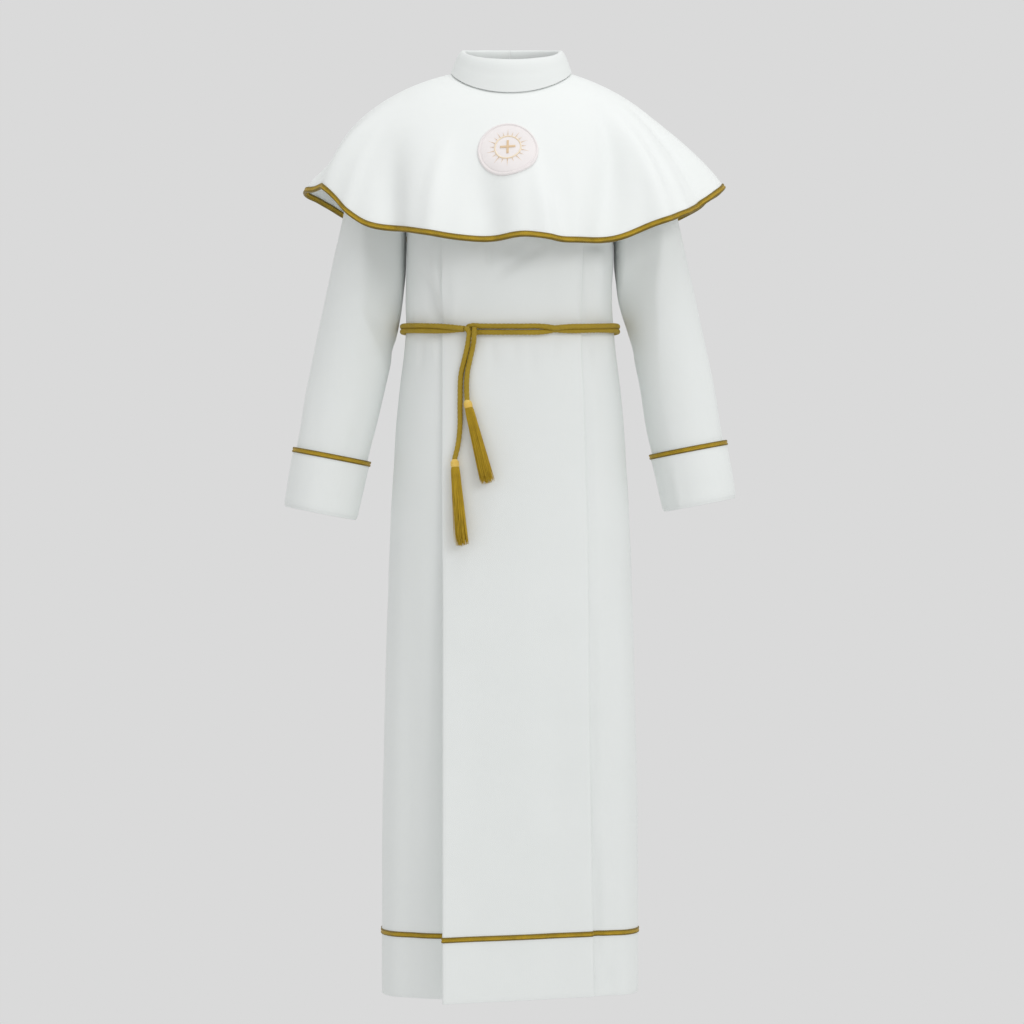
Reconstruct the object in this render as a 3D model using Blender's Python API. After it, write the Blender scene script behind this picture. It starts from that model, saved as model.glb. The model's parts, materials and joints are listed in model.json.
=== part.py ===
"""A child's alb with a shoulder cape, worn: for a wearer about 134 cm tall.

All sizes below are in millimetres and become metres when a mesh is made. +Z is up, -Y is the front and
+X is the wearer's left. The origin is the middle of the neck, level with the neck ends of the shoulders,
where the wearer carries the garment.
"""

import math
from collections import namedtuple

import bmesh
import bpy
import numpy as np
from mathutils import Vector

MM = 0.001

# Cloth walls and what keeps them apart.
CLOTH = 1.4
COLLAR_CLOTH = 1.8
CUFF_CLOTH = 2.0
CAPE_CLOTH = 1.5
SEAM_GAP = 0.3

# The body of the alb.
UNDERARM_Z = -165.0
SHOULDER_POINT = (138.0, -43.0)  # x and z of the outer end of a shoulder seam
NECK_POINT = (60.0, -8.0)  # x and z of its neck end
NECK_FRONT = (-57.0, -35.0)  # y and z of the neckline at the centre front
NECK_BACK = (49.0, -3.0)  # y and z of the neckline at the centre back
ARMHOLE_DEPTH = 52.0  # how far an armhole reaches in front of and behind its middle
SQUARENESS = 2.3  # superellipse exponent of the body's sections

# The front's two pleats, which turn under the centre panel.
PLEAT_UNDER = 28.0  # how far the folded cloth runs under the centre panel
FOLD_RADIUS = 1.2  # of the middle of the cloth, at each fold
PLEAT_CLOSED = 4 * FOLD_RADIUS
SIDE_COLUMNS = 7
PANEL_COLUMNS = 5
BACK_COLUMNS = 21
YOKE_COLUMNS = 21
FOLD_COLUMNS = SIDE_COLUMNS + 9  # from a side seam to the centre panel's folded edge

Section = namedtuple("Section", "z half_width front back right_edge left_edge right_open left_open flat")
BODY = [  # flat is how much the centre panel hangs as a straight board, not round the body
    Section(-1057, 146.5, 84, 112, -74, 93, 46.0, 10.0, 1.00),
    Section(-975, 146.5, 85, 111, -74, 92, 41.0, 9.5, 0.95),
    Section(-860, 146.0, 87, 109, -74, 90, 33.0, 8.5, 0.80),
    Section(-722, 143.0, 90, 106, -74, 88, 23.0, 7.0, 0.55),
    Section(-600, 139.5, 92, 103, -74, 87, 14.0, 6.0, 0.30),
    Section(-469, 134.0, 93, 98, -75, 85, 7.5, 5.0, 0.10),
    Section(-377, 127.5, 93, 92, -75, 82, 5.0, PLEAT_CLOSED, 0.00),
    Section(-318, 120.5, 91, 86, -75, 79, PLEAT_CLOSED, PLEAT_CLOSED, 0.00),
    Section(-295, 118.5, 90, 84, -75, 79, PLEAT_CLOSED, PLEAT_CLOSED, 0.00),
    Section(-268, 119.0, 93, 86, -75, 80, PLEAT_CLOSED, PLEAT_CLOSED, 0.00),
    Section(-225, 118.5, 96, 88, -75, 81, PLEAT_CLOSED, PLEAT_CLOSED, 0.00),
    Section(UNDERARM_Z, 118.0, 96, 88, -75, 81, PLEAT_CLOSED, PLEAT_CLOSED, 0.00),
]
YOKE_LEVELS = (0.25, 0.5, 0.75, 0.92, 1.0)  # shares of the way from underarm to shoulder seam
NECK_SHARE = 0.5  # how much of the upper edge is neckline, the rest being shoulder seams

Trough = namedtuple("Trough", "share width depth")
BACK_TROUGHS = [  # soft folds of the back, by share of the half width, with their depth at the hem
    Trough(-0.62, 0.13, 10.0),
    Trough(-0.20, 0.15, 13.0),
    Trough(0.24, 0.14, 11.0),
    Trough(0.64, 0.12, 9.0),
]
TROUGH_TOP_Z = -330.0  # the folds start below the belt

# Sleeves and cuffs, as rings seen from the front. The mirrored sleeve has the same rings.
Ring = namedtuple("Ring", "outer_x outer_z inner_x inner_z half_depth y")
SLEEVE = [
    Ring(138.0, -43.0, 118.0, -165.0, 52.0, 0.0),
    Ring(157.0, -58.0, 120.3, -178.0, 52.5, 0.0),
    Ring(173.0, -88.0, 121.6, -192.0, 52.0, 1.0),
    Ring(184.0, -132.0, 122.3, -212.0, 51.0, 2.0),
    Ring(195.0, -182.0, 123.0, -238.0, 50.0, 3.0),
    Ring(208.0, -240.0, 126.0, -275.0, 49.0, 3.0),
    Ring(220.5, -300.0, 135.0, -322.0, 47.5, 1.0),
    Ring(233.5, -364.0, 148.5, -382.0, 46.0, -4.0),
    Ring(241.5, -414.0, 160.5, -430.0, 43.5, -10.0),
    Ring(246.3, -441.0, 166.8, -456.5, 42.0, -14.0),
]
CUFF = [
    Ring(244.2, -426.6, 163.5, -442.2, 43.2, -12.4),
    Ring(250.3, -459.0, 170.8, -474.0, 43.0, -16.5),
    Ring(255.6, -494.0, 178.6, -509.0, 43.0, -20.5),
]
SLEEVE_SIDES = (("left", 1, 3.5, 3.5), ("right", -1, -3.5, -6.0))  # name, side of X, rise of sleeve and cuff
ARM_COLUMNS = 20
CUFF_STANDOFF = 0.7  # from the sleeve's cloth to the cuff's
ARMHOLE_GAP = (0.5, 1.9)  # from the body's cloth to the sleeve's, at the shoulder and at the underarm

# The cape: neck ring, hem ring, and the control point between them that bows each line out.
CAPE_NECK = dict(middle=2.0, side=62.5, front=60.5, back=52.5, z_side=-1.5, z_front=-27.0, z_back=3.0)
CAPE_BOW = dict(middle=-13.0, side=175.0, front=108.0, back=110.0, z_side=-28.0, z_front=-70.0, z_back=-40.0)
CAPE_HEM = dict(middle=11.0, side=225.0, front=143.0, back=138.0, z_side=-135.0, z_front=-206.0, z_back=-206.0)
HEM_ROUND = 1.4  # how quickly the hem climbs from the front and back to the sides
CAPE_COLUMNS = 64
CAPE_ROWS = (0, 0.1, 0.25, 0.42, 0.6, 0.78, 0.9, 1.0)
BACK_OPENING = 0.15  # half the gap where collar and cape meet at the centre back

Flute = namedtuple("Flute", "angle width start out lift")
CAPE_FLUTES = [  # start is the share of the cape's length where a flute begins
    Flute(-95, 15, 0.82, 23, -3),
    Flute(-70, 9, 0.30, 12, 13),
    Flute(-48, 12, 0.50, 0, -8),
    Flute(-27, 11, 0.30, 8, 1.5),
    Flute(-10, 9, 0.50, 0, 1),
    Flute(4, 8, 0.30, 8, 7.5),
    Flute(18, 9, 0.50, 0, -2),
    Flute(32, 10, 0.30, -3, -9),
    Flute(50, 10, 0.30, 8, -2),
    Flute(66, 9, 0.50, 0, -4.5),
    Flute(90, 17, 0.55, 10, 2),
    Flute(124, 13, 0.30, 10, 5),
    Flute(154, 12, 0.30, 9, 5),
    Flute(184, 12, 0.30, 9, 5),
    Flute(216, 13, 0.30, 9, 5),
    Flute(240, 11, 0.30, 8, 0),
]

# The collar, a strip folded over and sewn round the neckline.
COLLAR_COLUMNS = 30
COLLAR_SEAM = dict(middle=0.0, side=57.5, front=55.0, back=47.0, z_side=-9.0, z_front=-36.0, z_back=-4.0)
COLLAR_ROLL = dict(middle=2.0, side=53.5, front=51.5, back=45.5, z_side=21.0, z_front=5.0, z_back=27.0)
ROLL_RADIUS = 2.6
COLLAR_REACH = dict(front=0.055, side=0.026)  # shares of the cape's length that its folded part covers
COLLAR_CLEAR = 2.1  # from the cape's cloth to the collar's edge, middle to middle

# Gold braid and edging.
BRAID_HEIGHT = 6.0
BRAID_THICK = 1.3
BRAID_CLEAR = 0.3
HEM_BRAID_Z = -985.5
EDGING_LEG = 5.0  # how far the edging's two legs cover the cape's edge
EDGING_THICK = 1.0
EDGING_CLEAR = 0.6  # either side of the cape's cloth

# The round appliqué on the chest.
PATCH_ANGLE = -0.8
PATCH_SHARE = 0.53
PATCH_RADIUS = 34.0
PATCH_THICK = 1.8
RIM_WIDTH = 3.0
SUN_RADIUS = 14.5
RAY_COUNT = 20
RAY_LONG = 8.5
RAY_SHORT = 4.5
RAISED = 0.9
CROSS_ARM = 8.5
CROSS_WIDTH = 2.4

# The cincture: one rope, doubled. Its middle makes a loop at the front, where its two ends meet and hang.
ROPE = 5.4
ROPE_SIDES = 8
ROPE_STEP = 3.0  # from point to point of a rope's path, in diameters
BELT_Z = -296.0
BELT_DIP = 4.5  # how much lower the rope lies at the front
BELT = dict(side=123.6, front=100.2, back=89.0)
PAIR = (ROPE + SEAM_GAP) / 2  # from the middle of the doubled rope to each strand's
SIDE_TWIST = 36.0
LOOP_PAIR = 3.45  # the same within the loop
KNOT_TWISTS = [(-51.6, 80), (-58, 70), (-66, 50), (-78, 24), (-92, 0)]  # x, and degrees the pair has twisted
LOOP_TWISTS = [(44, 40), (50, 68), (57, 55), (68, SIDE_TWIST), (84, SIDE_TWIST)]
ROPE_REST = 0.9  # from the centre panel's cloth to a hanging end
BIGHT_X = -44.4  # middle of the loop's closed end
LONG_END = [  # x, z and standoff from the rope's rest on the centre panel
    (-48.2, -321.0, 2.0),
    (-51.5, -335.0, 0.2),
    (-54.8, -349.0, 0.0),
    (-56.2, -380.0, 0.0),
    (-56.6, -414.0, 0.0),
    (-58.6, -431.0, 1.0),
    (-62.4, -447.0, 2.4),
]
SHORT_END = [
    (-42.2, -322.0, 1.6),
    (-45.2, -335.0, 0.6),
    (-48.0, -349.0, 0.6),
    (-48.8, -366.0, 1.8),
    (-48.2, -381.0, 3.4),
]
LONG_TASSEL_FOOT = (-53.8, -544.0, 8.0)
SHORT_TASSEL_FOOT = (-24.8, -474.0, 8.0)

CapRing = namedtuple("CapRing", "radius drop")
CAP_PROFILE = [CapRing(3.6, 0.0), CapRing(5.0, 1.0), CapRing(5.0, 6.4), CapRing(4.6, 7.2), CapRing(4.8, 8.0)]
STRAND_CIRCLES = ((0.66, 18), (0.36, 9))  # each circle's share of the cap's radius and its corners
STRAND_GAP = 0.34


# ---------------------------------------------------------------- helpers


def smooth(xs, ys, x):
    """A smooth curve through the points of a table, read at x."""
    xs, ys = np.asarray(xs, float), np.asarray(ys, float)
    if xs[0] > xs[-1]:
        xs, ys = xs[::-1], ys[::-1]
    x = min(max(x, xs[0]), xs[-1])
    slopes = np.gradient(ys, xs)
    i = min(int(np.searchsorted(xs, x, side="right")) - 1, len(xs) - 2)
    step = xs[i + 1] - xs[i]
    t = (x - xs[i]) / step
    rise = (2 * t**3 - 3 * t**2 + 1) * ys[i] + (3 * t**2 - 2 * t**3) * ys[i + 1]
    return rise + step * ((t**3 - 2 * t**2 + t) * slopes[i] + (t**3 - t**2) * slopes[i + 1])


def column(table, field):
    return [getattr(row, field) for row in table]


def body_size(z, field):
    return smooth(column(BODY, "z"), column(BODY, field), z)


def ease(t):
    t = min(max(t, 0.0), 1.0)
    return t * t * (3 - 2 * t)


def unit(v):
    v = np.asarray(v, float)
    return v / max(np.linalg.norm(v), 1e-12)


def surface_normal(surface, u, v, du, dv):
    """The outward normal of surface(u, v), where u runs anticlockwise seen from above and v runs up."""
    along = surface(u + du, v) - surface(u - du, v)
    up = surface(u, v + dv) - surface(u, v - dv)
    return unit(np.cross(along, up))


def resampled(points, step, bend=24.0):
    """Points of a smooth curve through these, no further apart than step or than that bend in degrees."""
    points = np.asarray(points, float)
    run = np.concatenate([[0], np.cumsum(np.linalg.norm(np.diff(points, axis=0), axis=1))])
    line = np.array([[smooth(run, points[:, k], d) for k in range(3)] for d in np.arange(0, run[-1], 0.5)])
    line = np.vstack([line, points[-1]])
    legs = np.diff(line, axis=0)
    lengths = np.linalg.norm(legs, axis=1)
    kept, travelled, heading = [0], 0.0, legs[0]
    for k in range(1, len(legs)):
        travelled += lengths[k - 1]
        turned = math.degrees(math.acos(np.clip(unit(legs[k]).dot(unit(heading)), -1, 1)))
        if travelled >= step or (turned >= bend and travelled >= 1.7):
            kept.append(k)
            travelled, heading = 0.0, legs[k]
    if travelled < 2.2 and len(kept) > 1:
        kept.pop()
    return line[kept + [len(line) - 1]]


def material(name, colour, roughness, metallic=0.0):
    made = bpy.data.materials.new(name)
    made.use_nodes = True
    shader = made.node_tree.nodes["Principled BSDF"]
    shader.inputs["Base Color"].default_value = (*colour, 1.0)
    shader.inputs["Roughness"].default_value = roughness
    shader.inputs["Metallic"].default_value = metallic
    return made


def new_object(name, mesh, finish):
    mesh.materials.append(finish)
    made = bpy.data.objects.new(name, mesh)
    bpy.context.scene.collection.objects.link(made)
    return made


def grid_mesh(name, rows, closed=False):
    """A sheet through rows of points, in millimetres. A closed one joins its last column to its first."""
    count = len(rows[0])
    mesh = bpy.data.meshes.new(name)
    bm = bmesh.new()
    verts = [[bm.verts.new(Vector(p) * MM) for p in row] for row in rows]
    for lower, upper in zip(verts, verts[1:]):
        for k in range(count if closed else count - 1):
            n = (k + 1) % count
            bm.faces.new((lower[k], lower[n], upper[n], upper[k]))
    bm.to_mesh(mesh)
    bm.free()
    mesh.shade_smooth()
    return mesh


def cloth(name, rows, thickness, finish, closed=False):
    """Cloth of that thickness whose middle is the sheet through the rows."""
    made = new_object(name, grid_mesh(name, rows, closed), finish)
    wall = made.modifiers.new("wall", "SOLIDIFY")
    wall.thickness = thickness * MM
    wall.offset = 0.0
    wall.use_even_offset = True
    return made


def swept(name, sections, finish, closed=False):
    """A solid through closed sections of points, with flat ends unless its last section meets its first."""
    mesh = bpy.data.meshes.new(name)
    bm = bmesh.new()
    rings = [[bm.verts.new(Vector(p) * MM) for p in section] for section in sections]
    count = len(rings[0])
    pairs = list(zip(rings, rings[1:])) + ([(rings[-1], rings[0])] if closed else [])
    for one, two in pairs:
        for k in range(count):
            n = (k + 1) % count
            bm.faces.new((one[k], one[n], two[n], two[k]))
    if not closed:
        bm.faces.new(reversed(rings[0]))
        bm.faces.new(rings[-1])
    bmesh.ops.recalc_face_normals(bm, faces=bm.faces)
    bm.to_mesh(mesh)
    bm.free()
    return new_object(name, mesh, finish)


# ---------------------------------------------------------------- body of the alb


def section_share(x, half_width):
    """Where x lies on a section, from -1 at the right side seam to 1 at the left one."""
    share = min(abs(x) / half_width, 1.0) ** (SQUARENESS / 2)
    return math.copysign(math.asin(share) * 2 / math.pi, x)


def skirt_point(side, s, z):
    """The body below the underarm: side is -1 for the front, 1 for the back."""
    angle = abs(s) * math.pi / 2
    across = math.sin(angle) ** (2 / SQUARENESS)
    deep = max(math.cos(angle), 0.0) ** (2 / SQUARENESS)
    x = math.copysign(body_size(z, "half_width") * across, s)
    y = body_size(z, "front" if side < 0 else "back") * deep
    if side > 0:
        fall = ease((TROUGH_TOP_Z - z) / (TROUGH_TOP_Z - BODY[0].z))
        y -= fall * sum(f.depth * math.exp(-(((s - f.share) / f.width) ** 2)) for f in BACK_TROUGHS)
    return np.array([x, side * y, z])


def seam_line(side, s):
    """The upper edge of the body: a shoulder seam, or the neckline between the two."""
    if abs(s) >= NECK_SHARE:
        share = (abs(s) - NECK_SHARE) / (1 - NECK_SHARE)
        x = NECK_POINT[0] + (SHOULDER_POINT[0] - NECK_POINT[0]) * share
        y = 0.0
        z = NECK_POINT[1] + (SHOULDER_POINT[1] - NECK_POINT[1]) * share
    else:
        angle = abs(s) / NECK_SHARE * math.pi / 2
        middle_y, middle_z = NECK_FRONT if side < 0 else NECK_BACK
        x = NECK_POINT[0] * math.sin(angle)
        y = middle_y * math.cos(angle)
        z = NECK_POINT[1] + (middle_z - NECK_POINT[1]) * math.cos(angle)
    return np.array([math.copysign(x, s), y, z])


def yoke_point(side, s, t):
    """The body above the underarm, from t 0 there to 1 at the shoulder seam or neckline."""
    rise, arc = math.sin(t * math.pi / 2), math.cos(t * math.pi / 2)
    low, high = skirt_point(side, s, UNDERARM_Z), seam_line(side, s)
    point = low + (high - low) * rise
    roundness = 0.55 + 0.45 * ease((abs(s) - 0.15) / 0.2)
    point[1] = high[1] + (low[1] - high[1]) * ((1 - roundness) * (1 - rise) + roundness * arc)
    near_armhole = max((abs(s) - 0.5) / 0.5, 0.0) ** 1.5
    point[1] += side * near_armhole * 2 * ARMHOLE_DEPTH * math.sqrt(max(rise * (1 - rise), 0.0))
    return point


def pleat_profile(edge, opened, turn):
    """A pleat as (x, standoff) from under the centre panel's edge to that edge; turn is 1 on the right side."""
    reach = opened - 2 * FOLD_RADIUS
    between = math.hypot(PLEAT_UNDER, reach)
    slant = math.atan2(reach, PLEAT_UNDER) - math.asin(min(2 * FOLD_RADIUS / between, 1.0))
    sweep = math.pi - slant
    points = []
    for k in range(4):
        angle = -math.pi / 2 + sweep * k / 3
        points.append((PLEAT_UNDER + FOLD_RADIUS * math.cos(angle), FOLD_RADIUS * (1 + math.sin(angle))))
    fold = []
    for k in range(4):
        angle = -math.pi / 2 - slant - sweep * k / 3
        fold.append((FOLD_RADIUS * math.cos(angle), opened - FOLD_RADIUS * (1 - math.sin(angle))))
    points.append(((points[-1][0] + fold[0][0]) / 2, (points[-1][1] + fold[0][1]) / 2))
    return [(edge + turn * x, standoff) for x, standoff in points + fold]


def front_row(z):
    """One level of the front: side panel, pleat, centre panel, pleat, side panel."""
    half_width = body_size(z, "half_width")
    right, left = body_size(z, "right_edge"), body_size(z, "left_edge")
    right_open, left_open = body_size(z, "right_open"), body_size(z, "left_open")

    def on_body(x, standoff):
        return skirt_point(-1, section_share(x, half_width), z) - np.array([0, standoff, 0])

    def side_panel(x):
        """From the side seam to x, in even shares of the section."""
        end = section_share(x, half_width)
        return [skirt_point(-1, s, z) for s in np.linspace(math.copysign(1, x), end, SIDE_COLUMNS)]

    right_pleat = pleat_profile(right, right_open, 1)
    left_pleat = pleat_profile(left, left_open, -1)
    middle = PLEAT_UNDER / 2
    row = side_panel(right) + [on_body(right + middle, 0)]
    row += [on_body(x, standoff) for x, standoff in right_pleat]
    board_right, board_left = on_body(*right_pleat[-1]), on_body(*left_pleat[-1])
    ends = [right + middle, right + PLEAT_UNDER, left - PLEAT_UNDER, left - middle]
    inner = list(np.linspace(ends[1], ends[2], PANEL_COLUMNS))
    for x in [ends[0]] + inner + [ends[3]]:
        share = (x - right_pleat[-1][0]) / (left_pleat[-1][0] - right_pleat[-1][0])
        wrapped = on_body(x, right_open + share * (left_open - right_open))
        board = board_right + share * (board_left - board_right)
        row.append(wrapped + body_size(z, "flat") * (board - wrapped))
    row += [on_body(x, standoff) for x, standoff in left_pleat[::-1]]
    row += [on_body(left - middle, 0)] + side_panel(left)[::-1]
    return [np.array(p) for p in row]


def front_panel(z):
    """The part of a front row that is the centre panel, without its folds."""
    return np.array(front_row(z)[FOLD_COLUMNS:-FOLD_COLUMNS])


def yoke_row(side, t, columns):
    """A level above the underarm. At the front it starts level with the centre panel, which stands proud."""
    row = []
    for s in np.linspace(-1, 1, columns):
        point = yoke_point(side, s, t)
        if side < 0:
            point[1] -= PLEAT_CLOSED * ease((0.46 - abs(s)) / 0.1) * (1 - t)
        row.append(point)
    return row


def back_row(z):
    return [skirt_point(1, s, z) for s in np.linspace(-1, 1, BACK_COLUMNS)]


def parted(row, side):
    """The row drawn back from its side seams, and from the shoulder seams at their level."""
    for p in row:
        p[1] += side * SEAM_GAP / 2 if abs(p[1]) < 0.1 else 0.0
    return row


def make_body(finish):
    levels = column(BODY, "z")
    front = [parted(front_row(z), -1) for z in levels[:-1] + [UNDERARM_Z - SEAM_GAP]]
    yoke = [parted(yoke_row(-1, t, YOKE_COLUMNS), -1) for t in (0.0,) + YOKE_LEVELS]
    back = [parted(back_row(z), 1) for z in levels]
    back += [parted(yoke_row(1, t, BACK_COLUMNS), 1) for t in YOKE_LEVELS]
    for name, rows in (("robe_front", front), ("robe_front_yoke", yoke), ("robe_back", back)):
        cloth(name, rows, CLOTH, finish)


def strip_on(name, lower, upper, thickness, clear, finish, closed=False):
    """Braid on the outside of cloth: it follows two rows of the cloth's middle, moved out."""
    sections = []
    count = len(lower)
    for k in range(count):
        if closed:
            before, after = lower[k - 1], lower[(k + 1) % count]
        else:
            before, after = lower[max(k - 1, 0)], lower[min(k + 1, count - 1)]
        out = unit(np.cross(after - before, upper[k] - lower[k]))
        near, far = clear, clear + thickness
        sections.append([lower[k] + out * near, lower[k] + out * far, upper[k] + out * far, upper[k] + out * near])
    return swept(name, sections, finish, closed)


def make_hem_braid(finish):
    """Braid round the hem in four runs, which stop short inside the pleats and at the side seams."""
    lower_z, upper_z = HEM_BRAID_Z - BRAID_HEIGHT / 2, HEM_BRAID_Z + BRAID_HEIGHT / 2
    clear = CLOTH / 2 + BRAID_CLEAR
    front = [np.array(front_row(z)) for z in (lower_z, upper_z)]
    back = [np.array(back_row(z)) for z in (lower_z, upper_z)]
    for row in front + back:
        for end, inner in ((0, 1), (-1, -2)):
            row[end] += unit(row[inner] - row[end]) * SEAM_GAP
    count = len(front[0])
    beside = FOLD_COLUMNS - 2
    runs = {
        "hem_braid_right": slice(0, SIDE_COLUMNS),
        "hem_braid_centre": slice(beside, count - beside),
        "hem_braid_left": slice(count - SIDE_COLUMNS, count),
    }
    for name, run in runs.items():
        strip_on(name, front[0][run], front[1][run], BRAID_THICK, clear, finish)
    strip_on("hem_braid_back", back[0][::-1], back[1][::-1], BRAID_THICK, clear, finish)


# ---------------------------------------------------------------- sleeves


def arm_ring(ring, side, rise, gap=0.0):
    """The points of a ring of the sleeve, from its underarm round by the front."""
    outer = np.array([ring.outer_x, 0, ring.outer_z + rise])
    inner = np.array([ring.inner_x, 0, ring.inner_z + rise])
    middle, reach = (outer + inner) / 2, (outer - inner) / 2
    away = unit([-reach[2], 0, reach[0]]) * -1
    points = []
    for k in range(ARM_COLUMNS):
        angle = 2 * math.pi * k / ARM_COLUMNS
        p = middle - reach * math.cos(angle)
        p = p + np.array([0, ring.y - ring.half_depth * math.sin(angle), 0])
        p = p + away * gap * (ARMHOLE_GAP[0] + (ARMHOLE_GAP[1] - ARMHOLE_GAP[0]) * (1 + math.cos(angle)) / 2)
        points.append(np.array([side * p[0], p[1], p[2]]))
    return points


def arm_rows(table, side, rise, growth=0.0):
    """Rings of a sleeve or cuff; the arm's rise grows down the sleeve, and growth widens each ring."""
    rows = []
    for ring in table:
        share = (SLEEVE[0].outer_z - ring.outer_z) / (SLEEVE[0].outer_z - CUFF[-1].outer_z)
        span = unit([ring.outer_x - ring.inner_x, ring.outer_z - ring.inner_z]) * growth
        wide = ring._replace(
            outer_x=ring.outer_x + span[0],
            outer_z=ring.outer_z + span[1],
            inner_x=ring.inner_x - span[0],
            inner_z=ring.inner_z - span[1],
            half_depth=ring.half_depth + growth,
        )
        rows.append(arm_ring(wide, side, rise * share, gap=1.0 if ring is SLEEVE[0] else 0.0))
    return rows


def ring_between(table, share):
    """The ring at that share of the way down a table of rings."""
    place = share * (len(table) - 1)
    low = min(int(place), len(table) - 2)
    part = place - low
    return Ring(*(a + (b - a) * part for a, b in zip(table[low], table[low + 1])))


def make_sleeves(finish, gold):
    cuff_out = CLOTH / 2 + CUFF_STANDOFF + CUFF_CLOTH / 2
    for name, side, rise, cuff_rise in SLEEVE_SIDES:
        cloth(f"sleeve_{name}", arm_rows(SLEEVE, side, rise), CLOTH, finish, closed=True)
        cloth(f"cuff_{name}", arm_rows(CUFF, side, cuff_rise, cuff_out), CUFF_CLOTH, finish, closed=True)
        share = BRAID_HEIGHT / 63.0
        band = [ring_between(CUFF, 0.01), ring_between(CUFF, 0.01 + share)]
        upper, lower = (np.array(r[::side]) for r in arm_rows(band, side, cuff_rise, cuff_out))
        clear = CUFF_CLOTH / 2 + BRAID_CLEAR
        strip_on(f"cuff_braid_{name}", lower, upper, BRAID_THICK, clear, gold, closed=True)


# ---------------------------------------------------------------- cape


def neck_oval(sizes, angle):
    """A point of an oval round the neck: angle 0 is the front, 90 the wearer's left, 180 the back."""
    a = math.radians(angle)
    ahead = math.cos(a)
    depth, middle_z = (sizes["front"], sizes["z_front"]) if ahead > 0 else (sizes["back"], sizes["z_back"])
    z = sizes["z_side"] + (middle_z - sizes["z_side"]) * abs(ahead) ** sizes.get("rounding", 2.0)
    x = sizes["side"] * math.sin(a) + sizes["middle"] * math.sin(a) ** 2
    return np.array([x, -depth * ahead, z])


def nearest_turn(angle, middle):
    return (angle - middle + 180) % 360 - 180


def cape_point(angle, share):
    """The middle of the cape's cloth, at a share of the way from neck to hem."""
    neck = neck_oval({**CAPE_NECK, "rounding": 1.3}, angle)
    bow = neck_oval(CAPE_BOW, angle)
    hem = neck_oval({**CAPE_HEM, "rounding": HEM_ROUND}, angle)
    a = math.radians(angle)
    outward = unit([CAPE_HEM["front"] * math.sin(a), -CAPE_HEM["side"] * math.cos(a), 0])
    point = (1 - share) ** 2 * neck + 2 * share * (1 - share) * bow + share**2 * hem
    for flute in CAPE_FLUTES:
        hump = math.exp(-((nearest_turn(angle, flute.angle) / flute.width) ** 2))
        hump *= ease((share - flute.start) / (1 - flute.start))
        point = point + hump * (outward * flute.out + np.array([0, 0, flute.lift]))
    return point


def cape_normal(angle, share):
    return surface_normal(lambda a, v: cape_point(a, 1 - v), angle, 1 - share, 0.5, 0.01)


def round_the_back(columns, radius=60.0):
    """Angles from the centre back round by the wearer's right and the front, parted at the back."""
    slit = math.degrees(BACK_OPENING / radius)
    return np.linspace(-180 + slit, 180 - slit, columns)


def make_cape(finish, gold):
    angles = round_the_back(CAPE_COLUMNS)
    rows = [[cape_point(a, share) for a in angles] for share in CAPE_ROWS[::-1]]
    cloth("cape", rows, CAPE_CLOTH, finish)
    sections = []
    inside = CAPE_CLOTH / 2 + EDGING_CLEAR
    outside = inside + EDGING_THICK
    for k, edge in enumerate(rows[0]):
        up = unit(rows[1][k] - edge)
        beside = rows[0][min(k + 1, CAPE_COLUMNS - 1)] - rows[0][max(k - 1, 0)]
        out = unit(np.cross(beside, up))
        outline = [
            (-outside, EDGING_LEG),
            (-outside, -BRAID_CLEAR - EDGING_THICK),
            (outside, -BRAID_CLEAR - EDGING_THICK),
            (outside, EDGING_LEG),
            (inside, EDGING_LEG),
            (inside, -BRAID_CLEAR),
            (-inside, -BRAID_CLEAR),
            (-inside, EDGING_LEG),
        ]
        sections.append([edge + out * o + up * u for o, u in outline])
    swept("cape_edging", sections, gold)


# ---------------------------------------------------------------- collar


def collar_profile(angle):
    """The strip of the collar across its length: stand, roll and fall, from the neck seam outward."""
    seam = neck_oval({**COLLAR_SEAM, "rounding": 1.0}, angle)
    roll = neck_oval({**COLLAR_ROLL, "rounding": 1.0}, angle)
    a = math.radians(angle)
    reach = COLLAR_REACH["side"] + (COLLAR_REACH["front"] - COLLAR_REACH["side"]) * math.cos(a) ** 2
    edge = cape_point(angle, reach) + COLLAR_CLEAR * cape_normal(angle, reach)
    up = unit(roll - seam)
    out = np.array([math.sin(a), -math.cos(a), 0.0])
    out = unit(out - up * out.dot(up))
    points = [seam, (seam + roll) / 2]
    centre = roll + out * ROLL_RADIUS
    for k in range(5):
        turn = math.pi - math.pi * 0.9 * k / 4
        points.append(centre + ROLL_RADIUS * (out * math.cos(turn) + up * math.sin(turn)))
    last = points[-1]
    points.append((last + edge) / 2 + out * 0.8)
    points.append(edge)
    return points


def make_collar(finish):
    profiles = [collar_profile(a) for a in round_the_back(COLLAR_COLUMNS, 45.0)]
    rows = [[profile[k] for profile in profiles] for k in range(len(profiles[0]))]
    cloth("collar", rows[::-1], COLLAR_CLOTH, finish)


# ---------------------------------------------------------------- appliqué


def on_patch(across, up, lift):
    """A point of the appliqué, from its middle, lifted off the middle of the cape's cloth."""
    step = 0.5
    wide = np.linalg.norm(cape_point(PATCH_ANGLE + step, PATCH_SHARE) - cape_point(PATCH_ANGLE - step, PATCH_SHARE))
    tall = np.linalg.norm(cape_point(PATCH_ANGLE, PATCH_SHARE + 0.01) - cape_point(PATCH_ANGLE, PATCH_SHARE - 0.01))
    angle = PATCH_ANGLE + across * 2 * step / wide
    share = PATCH_SHARE - up * 0.02 / tall
    return cape_point(angle, share) + lift * cape_normal(angle, share)


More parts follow.
